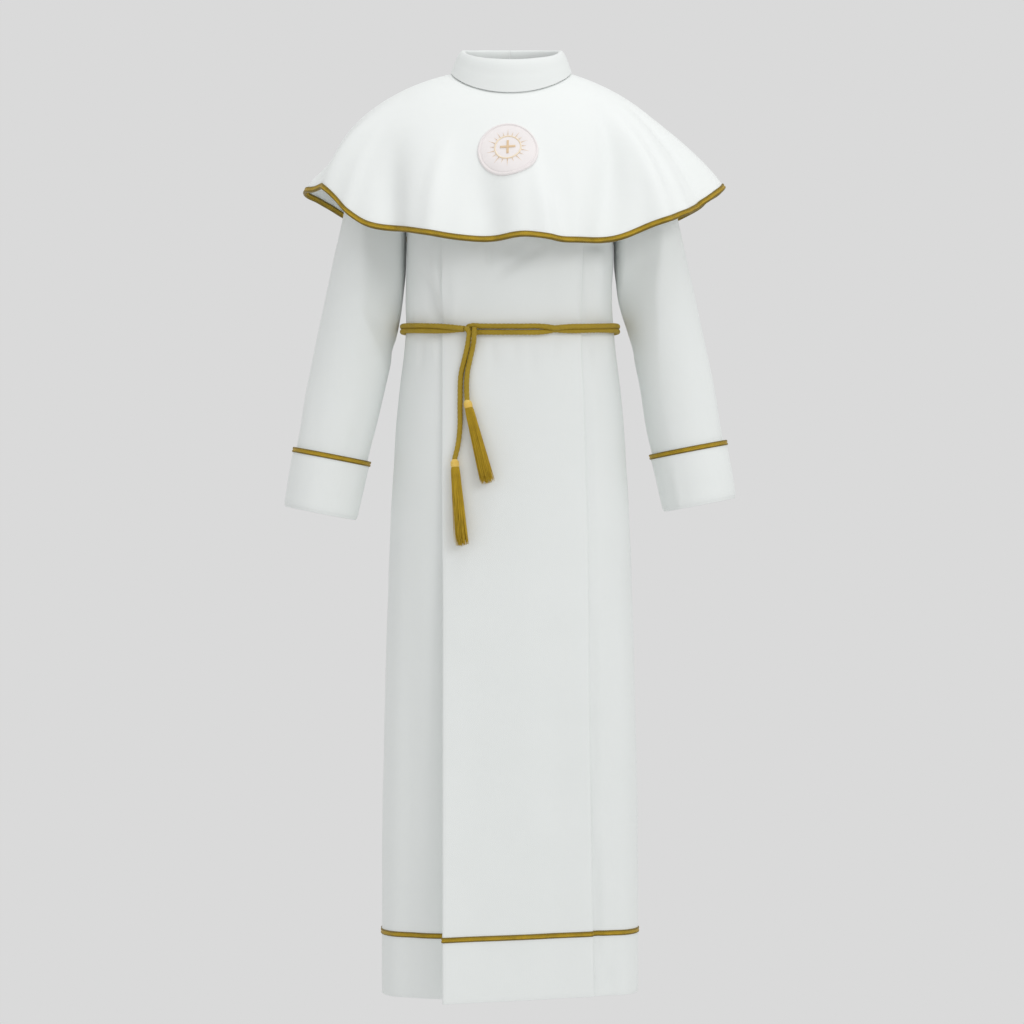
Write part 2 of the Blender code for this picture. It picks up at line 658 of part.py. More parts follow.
def plate(name, rings, low, finish):
    """A plate on the cape: rings of (across, up, height) from its middle out, closed underneath at low."""
    mesh = bpy.data.meshes.new(name)
    bm = bmesh.new()
    count = len(rings[0])
    top = [[bm.verts.new(Vector(on_patch(x, y, h)) * MM) for x, y, h in ring] for ring in rings]
    base = [[bm.verts.new(Vector(on_patch(x, y, low)) * MM) for x, y, h in ring] for ring in rings]
    for layer in (top, base):
        bm.faces.new(layer[0])
        for one, two in zip(layer, layer[1:]):
            for k in range(count):
                n = (k + 1) % count
                bm.faces.new((one[k], one[n], two[n], two[k]))
    for k in range(count):
        n = (k + 1) % count
        bm.faces.new((top[-1][k], top[-1][n], base[-1][n], base[-1][k]))
    bmesh.ops.recalc_face_normals(bm, faces=bm.faces)
    bm.to_mesh(mesh)
    bm.free()
    return new_object(name, mesh, finish)


def circle(radius, count, height):
    angles = [2 * math.pi * k / count for k in range(count)]
    return [(radius * math.sin(a), radius * math.cos(a), height) for a in angles]


def cross_outline(arm, width, height):
    """A plain cross with equal arms, anticlockwise."""
    w = width / 2
    corner = [(w, arm), (w, w), (arm, w)]
    points = []
    for quarter in range(4):
        c, s = math.cos(-quarter * math.pi / 2), math.sin(-quarter * math.pi / 2)
        points += [(x * c - y * s, x * s + y * c, height) for x, y in corner]
    return points


def make_applique(cream, gold):
    base = CAPE_CLOTH / 2 + BRAID_CLEAR
    face = base + PATCH_THICK
    count = 2 * RAY_COUNT
    rings = [
        circle(SUN_RADIUS * 0.9, count, face),
        circle(SUN_RADIUS + RAY_LONG, count, face),
        circle(PATCH_RADIUS - RIM_WIDTH, count, face),
        circle(PATCH_RADIUS - RIM_WIDTH / 2, count, face + RAISED),
        circle(PATCH_RADIUS, count, face - 0.4),
    ]
    plate("applique", rings, base, cream)
    sun_base = face + 2 * BRAID_CLEAR
    sun_face = sun_base + RAISED
    rays = []
    for k in range(count):
        a = 2 * math.pi * k / count
        reach = RAY_LONG if k % 4 == 0 else RAY_SHORT
        radius = SUN_RADIUS + (reach if k % 2 == 0 else 0.0)
        rays.append((radius * math.sin(a), radius * math.cos(a), sun_face))
    plate("applique_sun", [circle(SUN_RADIUS * 0.9, count, sun_face), rays], sun_base, gold)
    cross_base = sun_face + BRAID_CLEAR
    outline = cross_outline(CROSS_ARM, CROSS_WIDTH, cross_base + RAISED)
    plate("applique_cross", [outline], cross_base, gold)


# ---------------------------------------------------------------- cincture


def belt_point(angle, standoff=0.0, height=0.0):
    """A point of the doubled rope's middle: angle 0 is the front, 90 the wearer's left."""
    a = math.radians(angle)
    across, ahead = math.sin(a), math.cos(a)
    reach = 2 / SQUARENESS
    x = math.copysign(abs(across) ** reach, across) * (BELT["side"] + standoff)
    y = -math.copysign(abs(ahead) ** reach, ahead) * (BELT["front" if ahead > 0 else "back"] + standoff)
    z = BELT_Z - BELT_DIP * max(ahead, 0.0) ** 2 + height
    return np.array([x, y, z])


def belt_angle(x, standoff=0.0):
    """The angle at which the front of the belt has this x."""
    return math.copysign(math.degrees(math.asin((abs(x) / (BELT["side"] + standoff)) ** (SQUARENESS / 2))), x)


def on_belt(stations):
    """Points at stations of (x, height, standoff) along the front of the belt."""
    return [belt_point(belt_angle(x, standoff), standoff, height) for x, height, standoff in stations]


def twisted(strand, twist):
    """Height and standoff of one strand of the pair, the upper one coming forward as the pair twists."""
    turn = math.radians(twist)
    return strand * PAIR * math.cos(turn), (1 + strand) * PAIR * math.sin(turn)


def pair_stations(strand, twists):
    return [(x, *twisted(strand, twist)) for x, twist in twists]


def round_waist(strand, start_x, end_x, columns=30):
    """One strand beside and behind the wearer, from start_x at the front on their left to end_x."""
    route = []
    for angle in np.linspace(belt_angle(start_x), 360 + belt_angle(end_x), columns):
        height, standoff = twisted(strand, SIDE_TWIST * ease((85 - angle) / 34))
        route.append(belt_point(angle, standoff, height))
    return route


def over_panel(stations):
    """Points in front of the centre panel at stations of (x, z, standoff)."""
    route = []
    for x, z, standoff in stations:
        panel = front_panel(z)
        y = np.interp(x, panel[:, 0], panel[:, 1]) - CLOTH / 2 - ROPE_REST - ROPE / 2 - standoff
        route.append(np.array([x, y, z]))
    return route


def tube(name, route, finish):
    line = resampled(route, ROPE_STEP * ROPE)
    curve = bpy.data.curves.new(name, "CURVE")
    curve.dimensions = "3D"
    curve.bevel_depth = ROPE / 2 * MM
    curve.bevel_resolution = (ROPE_SIDES - 4) // 2
    curve.use_fill_caps = True
    spline = curve.splines.new("POLY")
    spline.points.add(len(line) - 1)
    for point, place in zip(spline.points, line):
        point.co = (*(place * MM), 1.0)
    curve.materials.append(finish)
    made = bpy.data.objects.new(name, curve)
    bpy.context.scene.collection.objects.link(made)
    return made


def bight(sides=5):
    """The closed end of the loop, round from its upper strand to its lower one."""
    stations = []
    for k in range(1, sides):
        angle = math.pi / 2 + math.pi * k / sides
        stations.append((BIGHT_X + LOOP_PAIR * math.cos(angle), LOOP_PAIR * math.sin(angle), 0.0))
    return stations


def waist_route():
    """The rope from the end over the loop, twice round the waist by way of the loop, to the end behind it."""
    upper = on_belt(pair_stations(1, KNOT_TWISTS)) + round_waist(1, 100, -102)[::-1]
    upper += on_belt(pair_stations(1, LOOP_TWISTS[::-1]))
    lower = on_belt(pair_stations(-1, KNOT_TWISTS)) + round_waist(-1, 100, -102)[::-1]
    lower += on_belt(pair_stations(-1, LOOP_TWISTS[::-1]))
    loop = [(x, LOOP_PAIR, 0) for x in (32, 16, 0, -16, -32, BIGHT_X)]
    loop += bight() + [(x, -LOOP_PAIR, 0) for x in (BIGHT_X, -32, -16, 0, 16, 32)]
    return upper + on_belt(loop) + lower[::-1]


def turn_down(start_x, height, standoff, radius=5.0):
    """The first points of the end that passes over the loop: it turns from sideways to downward."""
    stations = []
    for k in range(4):
        angle = math.pi / 2 * k / 3
        stations.append((start_x + radius * math.sin(angle), height - radius * (1 - math.cos(angle)), standoff))
    return stations


def make_cincture(rope, gold):
    tube("cincture_waist", waist_route(), rope)
    long_end = on_belt(turn_down(-50.8, 0.5, 6.0) + [(-46.4, -10.0, 5.6)]) + over_panel(LONG_END)
    short_end = on_belt([(-40.0, 0.4, 3.4), (-40.1, -1.6, 6.6), (-40.2, -6.0, 8.4), (-40.6, -12.0, 6.4)])
    short_end += over_panel(SHORT_END)
    tube("cord_end_long", long_end, rope)
    tube("cord_end_short", short_end, rope)
    make_tassel("tassel_long", long_end, LONG_TASSEL_FOOT, rope)
    make_tassel("tassel_short", short_end, SHORT_TASSEL_FOOT, rope)


def make_tassel(name, cord, foot, finish):
    """A cap with strands growing from its underside, from just below a cord's end to the foot."""
    top, heading = cord[-1], cord[-1] - cord[-2]
    (foot,) = over_panel([foot])
    down = unit(foot - top)
    lean = math.sqrt(max(1 - unit(heading).dot(down) ** 2, 0.0))
    top = top + down * (SEAM_GAP + CAP_PROFILE[0].radius * lean)
    length = np.linalg.norm(foot - top)
    across = unit(np.cross(down, [0, 1, 0]))
    ahead = np.cross(across, down)

    def place(radius, angle, drop):
        return Vector(top + down * drop + radius * (across * math.cos(angle) + ahead * math.sin(angle))) * MM

    bm = bmesh.new()
    sides = 18
    rings = []
    for radius, drop in CAP_PROFILE:
        rings.append([bm.verts.new(place(radius, 2 * math.pi * k / sides, drop)) for k in range(sides)])
    bm.faces.new(rings[0])
    for upper, lower in zip(rings, rings[1:]):
        for k in range(sides):
            bm.faces.new((upper[k], lower[k], lower[(k + 1) % sides], upper[(k + 1) % sides]))
    cells = []
    outer = rings[-1]
    head = CAP_PROFILE[-1].drop
    for share, every in STRAND_CIRCLES:
        inner = [bm.verts.new(place(CAP_PROFILE[-1].radius * share, 2 * math.pi * k / every, head)) for k in range(every)]
        count = len(outer)
        for k in range(count):
            a, b = inner[k * every // count], inner[((k + 1) * every // count) % every]
            corners = (outer[k], a, b, outer[(k + 1) % count]) if a is not b else (outer[k], a, outer[(k + 1) % count])
            cells.append(bm.faces.new(corners))
        outer = inner
    cells.append(bm.faces.new(outer[::-1]))
    bmesh.ops.recalc_face_normals(bm, faces=bm.faces)
    bmesh.ops.inset_individual(bm, faces=cells, thickness=STRAND_GAP / 2 * MM, use_even_offset=True)
    axis_top, axis = Vector(top) * MM, Vector(down)
    drop = head
    for k, cell in enumerate(cells):
        rows = [(0.45, 1.32), (1.0 - 0.03 * (k * 7 % 3), 1.22)]
        for share, spread in rows:
            made = bmesh.ops.extrude_discrete_faces(bm, faces=[cell])["faces"][0]
            low = head + (length - head) * share
            for vert in made.verts:
                out = vert.co - axis_top
                out -= axis * out.dot(axis)
                vert.co = axis_top + out * spread + axis * low * MM
            cell = made
    mesh = bpy.data.meshes.new(name)
    bm.to_mesh(mesh)
    bm.free()
    return new_object(name, mesh, finish)


def main():
    for leftover in list(bpy.data.objects):
        bpy.data.objects.remove(leftover)
    white = material("white_cloth", (0.80, 0.83, 0.81), 0.75)
    gold = material("gold_braid", (0.45, 0.30, 0.04), 0.45, 0.3)
    rope = material("gold_rope", (0.38, 0.27, 0.04), 0.6, 0.1)
    cream = material("cream_satin", (0.80, 0.70, 0.68), 0.6)
    make_body(white)
    make_hem_braid(gold)
    make_sleeves(white, gold)
    make_cape(white, gold)
    make_collar(white)
    make_applique(cream, gold)
    make_cincture(rope, gold)


main()
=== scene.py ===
"""The looks of a child's alb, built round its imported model: cloth, braid, rope, tassels and appliqué.

Sizes are in millimetres, as in the model's own source, and become metres when a mesh is made. +Z is up,
-Y is the front and +X is the wearer's left. The origin is the middle of the wearer's neck.
"""

import json
import math
from collections import namedtuple

import bpy
import numpy as np
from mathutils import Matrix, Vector, noise

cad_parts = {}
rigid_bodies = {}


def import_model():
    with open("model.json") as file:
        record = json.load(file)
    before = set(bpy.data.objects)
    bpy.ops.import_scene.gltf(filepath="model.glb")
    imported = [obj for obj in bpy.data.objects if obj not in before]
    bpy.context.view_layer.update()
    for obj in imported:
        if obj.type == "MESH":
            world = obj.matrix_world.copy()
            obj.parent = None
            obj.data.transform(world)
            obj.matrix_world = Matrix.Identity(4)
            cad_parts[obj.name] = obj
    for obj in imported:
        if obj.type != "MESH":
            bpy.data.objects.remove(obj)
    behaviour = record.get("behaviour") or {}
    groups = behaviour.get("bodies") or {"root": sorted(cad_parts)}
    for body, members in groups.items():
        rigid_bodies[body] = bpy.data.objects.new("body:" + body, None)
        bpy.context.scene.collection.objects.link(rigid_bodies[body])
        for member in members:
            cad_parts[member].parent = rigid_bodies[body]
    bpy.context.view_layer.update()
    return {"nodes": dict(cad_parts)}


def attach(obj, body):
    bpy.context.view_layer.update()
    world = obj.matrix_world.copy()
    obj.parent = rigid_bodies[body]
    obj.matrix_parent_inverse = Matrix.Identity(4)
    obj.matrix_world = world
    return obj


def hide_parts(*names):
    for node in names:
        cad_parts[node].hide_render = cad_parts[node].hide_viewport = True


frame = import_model()
MM = 0.001

# ---------------------------------------------------------------- sizes and places

CLOTH = 1.4  # the solids' walls, which a hem's two layers fill
CUFF_CLOTH = 2.0
CAPE_CLOTH = 1.5
LAYER = 0.6  # one layer of cloth
SEAM_GAP = 0.3

UNDERARM_Z = -165.0
SHOULDER_POINT = (138.0, -43.0)
NECK_POINT = (60.0, -8.0)
NECK_FRONT = (-57.0, -35.0)
NECK_BACK = (49.0, -3.0)
ARMHOLE_DEPTH = 52.0
SQUARENESS = 2.3
NECK_SHARE = 0.5

PLEAT_UNDER = 28.0
FOLD_RADIUS = 1.2
PLEAT_CLOSED = 4 * FOLD_RADIUS

Section = namedtuple("Section", "z half_width front back right_edge left_edge right_open left_open flat")
BODY = [
    Section(-1057, 146.5, 84, 112, -74, 93, 46.0, 10.0, 1.00),
    Section(-975, 146.5, 85, 111, -74, 92, 41.0, 9.5, 0.95),
    Section(-860, 146.0, 87, 109, -74, 90, 33.0, 8.5, 0.80),
    Section(-722, 143.0, 90, 106, -74, 88, 23.0, 7.0, 0.55),
    Section(-600, 139.5, 92, 103, -74, 87, 14.0, 6.0, 0.30),
    Section(-469, 134.0, 93, 98, -75, 85, 7.5, 5.0, 0.10),
    Section(-377, 127.5, 93, 92, -75, 82, 5.0, PLEAT_CLOSED, 0.00),
    Section(-318, 120.5, 91, 86, -75, 79, PLEAT_CLOSED, PLEAT_CLOSED, 0.00),
    Section(-295, 118.5, 90, 84, -75, 79, PLEAT_CLOSED, PLEAT_CLOSED, 0.00),
    Section(-268, 119.0, 93, 86, -75, 80, PLEAT_CLOSED, PLEAT_CLOSED, 0.00),
    Section(-225, 118.5, 96, 88, -75, 81, PLEAT_CLOSED, PLEAT_CLOSED, 0.00),
    Section(UNDERARM_Z, 118.0, 96, 88, -75, 81, PLEAT_CLOSED, PLEAT_CLOSED, 0.00),
]
HEM_Z = BODY[0].z

Trough = namedtuple("Trough", "share width depth")
BACK_TROUGHS = [
    Trough(-0.62, 0.13, 10.0),
    Trough(-0.20, 0.15, 13.0),
    Trough(0.24, 0.14, 11.0),
    Trough(0.64, 0.12, 9.0),
]
TROUGH_TOP_Z = -330.0

Ring = namedtuple("Ring", "outer_x outer_z inner_x inner_z half_depth y")
SLEEVE = [
    Ring(138.0, -43.0, 118.0, -165.0, 52.0, 0.0),
    Ring(157.0, -58.0, 120.3, -178.0, 52.5, 0.0),
    Ring(173.0, -88.0, 121.6, -192.0, 52.0, 1.0),
    Ring(184.0, -132.0, 122.3, -212.0, 51.0, 2.0),
    Ring(195.0, -182.0, 123.0, -238.0, 50.0, 3.0),
    Ring(208.0, -240.0, 126.0, -275.0, 49.0, 3.0),
    Ring(220.5, -300.0, 135.0, -322.0, 47.5, 1.0),
    Ring(233.5, -364.0, 148.5, -382.0, 46.0, -4.0),
    Ring(241.5, -414.0, 160.5, -430.0, 43.5, -10.0),
    Ring(246.3, -441.0, 166.8, -456.5, 42.0, -14.0),
]
CUFF = [
    Ring(244.2, -426.6, 163.5, -442.2, 43.2, -12.4),
    Ring(250.3, -459.0, 170.8, -474.0, 43.0, -16.5),
    Ring(255.6, -494.0, 178.6, -509.0, 43.0, -20.5),
]
SLEEVE_SIDES = (("left", 1, 3.5, 3.5), ("right", -1, -3.5, -6.0))  # name, side of X, rise of sleeve and cuff
CUFF_STANDOFF = 0.7
ARMHOLE_GAP = (0.5, 1.9)

CAPE_NECK = dict(middle=2.0, side=62.5, front=60.5, back=52.5, z_side=-1.5, z_front=-27.0, z_back=3.0)
CAPE_BOW = dict(middle=-13.0, side=175.0, front=108.0, back=110.0, z_side=-28.0, z_front=-70.0, z_back=-40.0)
CAPE_HEM = dict(
    middle=11.0, side=225.0, front=143.0, back=138.0, z_side=-135.0, z_front=-206.0, z_back=-206.0
)
NECK_ROUND = 1.3
HEM_ROUND = 1.4
BACK_OPENING = 0.15

Flute = namedtuple("Flute", "angle width start out lift")
CAPE_FLUTES = [
    Flute(-95, 15, 0.82, 23, -3),
    Flute(-70, 9, 0.30, 12, 13),
    Flute(-48, 12, 0.50, 0, -8),
    Flute(-27, 11, 0.30, 8, 1.5),
    Flute(-10, 9, 0.50, 0, 1),
    Flute(4, 8, 0.30, 8, 7.5),
    Flute(18, 9, 0.50, 0, -2),
    Flute(32, 10, 0.30, -3, -9),
    Flute(50, 10, 0.30, 8, -2),
    Flute(66, 9, 0.50, 0, -4.5),
    Flute(90, 17, 0.55, 10, 2),
    Flute(124, 13, 0.30, 10, 5),
    Flute(154, 12, 0.30, 9, 5),
    Flute(184, 12, 0.30, 9, 5),
    Flute(216, 13, 0.30, 9, 5),
    Flute(240, 11, 0.30, 8, 0),
]

COLLAR_SEAM = dict(middle=0.0, side=57.5, front=55.0, back=47.0, z_side=-9.0, z_front=-36.0, z_back=-4.0)
COLLAR_ROLL = dict(middle=2.0, side=53.5, front=51.5, back=45.5, z_side=21.0, z_front=5.0, z_back=27.0)
ROLL_RADIUS = 2.6
COLLAR_REACH = dict(front=0.055, side=0.026)
COLLAR_CLEAR = 2.1

BRAID_HEIGHT = 6.0
CUFF_BRAID_ABOVE = 0.3  # how far a cuff's braid stands above its edge
HEM_BRAID_Z = -985.5

PATCH_ANGLE = -0.8
PATCH_SHARE = 0.53
SUN_RADIUS = 14.5
RAY_COUNT = 20
RAY_LONG = 8.5
RAY_SHORT = 4.5
RAISED = 0.9
CROSS_ARM = 8.5
CROSS_WIDTH = 2.4

ROPE = 5.4
BELT_Z = -296.0
BELT_DIP = 4.5
BELT = dict(side=123.6, front=100.2, back=89.0)
PAIR = (ROPE + SEAM_GAP) / 2
SIDE_TWIST = 36.0
LOOP_PAIR = 3.45
KNOT_TWISTS = [(-51.6, 80), (-58, 70), (-66, 50), (-78, 24), (-92, 0)]
LOOP_TWISTS = [(44, 40), (50, 68), (57, 55), (68, SIDE_TWIST), (84, SIDE_TWIST)]
ROPE_REST = 0.9
BIGHT_X = -44.4
LONG_END = [
    (-48.2, -321.0, 2.0),
    (-51.5, -335.0, 0.2),
    (-54.8, -349.0, 0.0),
    (-56.2, -380.0, 0.0),
    (-56.6, -414.0, 0.0),
    (-58.6, -431.0, 1.0),
    (-62.4, -447.0, 2.4),
]
SHORT_END = [
    (-42.2, -322.0, 1.6),
    (-45.2, -335.0, 0.6),
    (-48.0, -349.0, 0.6),
    (-48.8, -366.0, 1.8),
    (-48.2, -381.0, 3.4),
]
LONG_TASSEL_FOOT = (-53.8, -544.0, 8.0)
SHORT_TASSEL_FOOT = (-24.8, -474.0, 8.0)

# ---------------------------------------------------------------- helpers


def ease(t):
    """Rises from 0 to 1 as t does, level at both ends."""
    t = np.clip(t, 0.0, 1.0)
    return t * t * (3 - 2 * t)


def unit(v):
    """Vectors made 1 long."""
    v = np.asarray(v, float)
    return v / np.maximum(np.linalg.norm(v, axis=-1, keepdims=True), 1e-12)


def through(xs, ys):
    """A smooth curve through the points of a table, to be read at any x."""
    xs, ys = np.asarray(xs, float), np.asarray(ys, float)
    if xs[0] > xs[-1]:
        xs, ys = xs[::-1], ys[::-1]
    slopes = np.gradient(ys, xs)

    def read(x):
        x = np.clip(x, xs[0], xs[-1])
        i = np.clip(np.searchsorted(xs, x, side="right") - 1, 0, len(xs) - 2)
        step = xs[i + 1] - xs[i]
        t = (x - xs[i]) / step
        rise = (2 * t**3 - 3 * t**2 + 1) * ys[i] + (3 * t**2 - 2 * t**3) * ys[i + 1]
        return rise + step * ((t**3 - 2 * t**2 + t) * slopes[i] + (t**3 - t**2) * slopes[i + 1])

    return read


def curves_of(table, xs):
    """Each column of a table as a smooth curve over xs."""
    return {field: through(xs, [getattr(row, field) for row in table]) for field in table[0]._fields}


def runs(points):
    """Distance along each row of points, from its first."""
    legs = np.linalg.norm(np.diff(points, axis=-2), axis=-1)
    start = np.zeros((*legs.shape[:-1], 1))
    return np.concatenate([start, np.cumsum(legs, axis=-1)], axis=-1)


def along(run, values, places):
    """Values at places along a line, from those at its own points, which lie at run."""
    return np.stack([np.interp(places, run, values[:, k]) for k in range(3)], axis=-1)


def evenly(points, step, fine_step=0.25):
    """Points along a smooth curve through these, that far apart, found by way of finer steps."""
    points = np.asarray(points, float)
    run = runs(points)
    fine = np.stack([through(run, points[:, k])(np.arange(0, run[-1], fine_step)) for k in range(3)], axis=-1)
    fine = np.vstack([fine, points[-1]])
    run = runs(fine)
    places = np.linspace(0, run[-1], max(int(round(run[-1] / step)), 2) + 1)
    return along(run, fine, places)


def normals_of(points, closed=False):
    """Outward normals of a grid whose columns run anticlockwise, seen from above, and whose rows run up."""
    if closed:
        along = np.roll(points, -1, axis=1) - np.roll(points, 1, axis=1)
    else:
        along = np.gradient(points, axis=1)
    return unit(np.cross(along, np.gradient(points, axis=0)))


def select_none():
    """Leaves nothing selected."""
    for o in bpy.context.selected_objects:
        o.select_set(False)


def select_only(*objects):
    """Selects these alone, and makes the first of them the active one."""
    select_none()
    for o in objects:
        o.select_set(True)
    bpy.context.view_layer.objects.active = objects[0]


def apply_modifier(obj, kind, **settings):
    """Adds a modifier with those settings and applies it."""
    select_only(obj)
    made = obj.modifiers.new(kind.lower(), kind)
    for name, value in settings.items():
        setattr(made, name, value)
    bpy.ops.object.modifier_apply(modifier=made.name)


def bevel(obj, width, degrees):
    """Rounds off the edges that turn by more than that, to a width in millimetres."""
    angle = math.radians(degrees)
    apply_modifier(obj, "BEVEL", width=width * MM, segments=3, limit_method="ANGLE", angle_limit=angle)


def edited(obj, operator, **settings):
    """A piece after an edit-mode operator has worked on all of it."""
    select_only(obj)
    bpy.ops.object.mode_set(mode="EDIT")
    bpy.ops.mesh.select_all(action="SELECT")
    operator(**settings)
    bpy.ops.object.mode_set(mode="OBJECT")
    return obj


def placed(obj, place, turn=(0, 0, 0)):
    """A piece turned and moved to its place in millimetres, with both applied to its mesh."""
    select_only(obj)
    obj.rotation_euler = turn
    obj.location = [value * MM for value in place]
    bpy.ops.object.transform_apply()
    return obj


def merged(name, pieces):
    """One piece made of several."""
    select_only(*pieces)
    bpy.ops.object.join()
    pieces[0].name = name
    return pieces[0]


def shell(name, points, faces, uv, finish):
    """A smooth mesh of points in millimetres; uv has a place in millimetres for each corner of each face."""
    mesh = bpy.data.meshes.new(name)
    mesh.from_pydata((points.reshape(-1, 3) * MM).tolist(), [], faces)
    mesh.uv_layers.new(name="cloth").data.foreach_set("uv", (uv * MM).ravel())
    mesh.shade_smooth()
    mesh.materials.append(finish)
    made = bpy.data.objects.new(name, mesh)
    bpy.context.scene.collection.objects.link(made)
    return made


def grid_object(name, points, finish, closed=False, rolled=False, capped=False, thread_uv=None):
    """A mesh through a grid of points, in millimetres, with a UV map in metres along and across it.
    closed joins its last column to its first, and rolled its last row to its first; capped closes the
    ends of a rolled grid, or the last row of a closed one."""
    rows, columns = points.shape[:2]
    last_row, last_column = rows if rolled else rows - 1, columns if closed else columns - 1
    r, c = np.meshgrid(np.arange(last_row), np.arange(last_column), indexing="ij")
    corners = [(r, c), (r, c + 1), (r + 1, c + 1), (r + 1, c)]
    faces = np.stack([(a % rows) * columns + b % columns for a, b in corners], axis=-1)
    faces = faces.reshape(-1, 4).tolist()
    if thread_uv is None:
        across = runs(np.concatenate([points, points[:, :1]], axis=1))
        across = across - across[:, columns // 2 : columns // 2 + 1] * (not closed)
        up = runs(np.swapaxes(np.concatenate([points, points[:1]], axis=0), 0, 1)).mean(axis=0)
        u, v = np.concatenate([across, across[:1]], axis=0), np.repeat(up[:, None], columns + 1, axis=1)
    else:
        u, v = thread_uv
    uv = np.stack([np.stack([u[a, b], v[a, b]], axis=-1) for a, b in corners], axis=2).reshape(-1, 2)
    if capped:
        each_row, each_column = np.arange(rows), np.arange(columns)
        ends = [(each_row, 0 * each_row), (each_row[::-1], 0 * each_row + columns - 1)]
        if closed:
            ends = [(0 * each_column + rows - 1, each_column)]
        for a, b in ends:
            faces.append((a * columns + b).tolist())
            uv = np.vstack([uv, np.stack([u[a, b], v[a, b]], axis=-1)])
    return shell(name, points, faces, uv, finish)


def smooth_by_angle(obj, degrees=40.0):
    """Smooth shading, but for edges that turn by more than that."""
    select_only(obj)
    bpy.ops.object.shade_smooth_by_angle(angle=math.radians(degrees))


# ---------------------------------------------------------------- creases

Crease = namedtuple("Crease", "u0 v0 u1 v1 bow width height")

FRONT_CREASES = [  # by x and z; height is outward
    Crease(-106, -218, -83, -296, -3, 5.5, -3.2),
    Crease(-91, -200, -77, -290, -2, 6.0, 3.0),
    Crease(-112, -238, -104, -296, 0, 5.0, 1.4),
    Crease(98, -172, 98, -312, 0, 9.0, 4.0),
    Crease(97, -194, 98, -256, 0, 8.0, 2.5),
    Crease(81, -188, 81, -306, 0, 2.6, -3.0),
    Crease(82, -206, 114, -206, -3, 5.5, -3.2),
    Crease(119, -215, 119, -300, 0, 9.0, -2.4),
    Crease(-34, -250, 48, -200, 0, 6.0, -2.8),
    Crease(-23, -188, -22, -236, 0, 4.0, -3.0),
    Crease(-30, -227, 40, -196, 0, 13.0, -3.0),
    Crease(4, -186, -4, -222, 0, 15.0, -2.4),
    Crease(-88, -236, -72, -316, 3, 8.0, -3.6),
    Crease(-66, -226, -60, -316, -2, 7.0, 1.6),
    Crease(-40, -205, -34, -293, 3, 14.0, -1.1),
    Crease(6, -200, -3, -293, -4, 16.0, 1.0),
    Crease(48, -205, 41, -293, 2, 13.0, -1.1),
    Crease(-99, -298, -101, -352, 0, 4.5, -2.0),
    Crease(-86, -298, -84, -344, 0, 4.0, 1.4),
    Crease(-20, -301, -18, -352, 0, 5.0, -1.1),
    Crease(4, -301, 6, -340, 0, 4.5, -0.8),
    Crease(24, -301, 26, -362, 1, 6.0, -1.2),
    Crease(52, -301, 50, -348, 0, 5.0, -1.0),
    Crease(96, -298, 99, -360, 0, 6.0, -1.8),
    Crease(110, -298, 113, -348, 0, 4.5, 1.2),
    Crease(-30, -400, -44, -1400, 8, 26.0, -1.8),
    Crease(10, -380, 24, -1400, -6, 24.0, 1.0),
    Crease(52, -430, 62, -1400, 5, 20.0, -1.6),
    Crease(-110, -360, -112, -1400, 4, 14.0, -2.8),
    Crease(-128, -420, -134, -1400, -3, 10.0, 1.6),
    Crease(112, -380, 110, -1400, -4, 10.0, -2.2),
    Crease(130, -420, 132, -1400, 2, 10.0, 1.4),
    Crease(86, -318, 94, -620, 0, 5.0, -2.2),
    Crease(94, -560, 98, -900, 0, 5.0, -2.2),
    Crease(97, -850, 102, -1052, 0, 6.0, -3.4),
    Crease(112, -1010, 124, -1100, 4, 9.0, -2.4),
]
BACK_CREASES = [
    Crease(-98, -188, -90, -292, 3, 8.0, 2.6),
    Crease(-62, -182, -54, -292, -3, 9.0, -2.6),
    Crease(-24, -196, -28, -292, 2, 9.0, 2.2),
    Crease(12, -186, 16, -292, -2, 8.0, -2.4),
    Crease(48, -194, 53, -292, 2, 8.0, 2.4),
    Crease(86, -198, 79, -292, 1, 7.0, -2.2),
    Crease(-84, -298, -92, -390, 2, 7.0, -2.2),
    Crease(-46, -298, -50, -372, -1, 6.0, -1.8),
    Crease(-12, -298, -8, -400, 2, 7.0, -2.0),
    Crease(26, -298, 30, -366, -1, 6.0, -1.6),
    Crease(66, -298, 72, -396, 1, 7.0, -2.2),
    Crease(104, -298, 108, -360, 0, 5.0, -1.6),
    Crease(-36, -420, -30, -1400, 6, 16.0, 2.6),
    Crease(4, -520, 10, -1400, -6, 14.0, 2.0),
    Crease(58, -400, 66, -1400, 5, 16.0, 2.4),
    Crease(-112, -380, -118, -1400, 0, 12.0, 2.2),
    Crease(112, -380, 120, -1400, 0, 12.0, 2.2),
    Crease(119, -215, 119, -300, 0, 9.0, -2.4),
]
YOKE_CREASES = [
    Crease(-104, -196, -84, -84, 4, 9.0, -2.4),
    Crease(-82, -200, -62, -96, 3, 8.0, 1.6),
    Crease(104, -196, 86, -84, -4, 9.0, -2.4),
    Crease(80, -200, 64, -100, -3, 8.0, 1.6),
]
PER_DEGREE = 0.8  # millimetres of a sleeve's girth
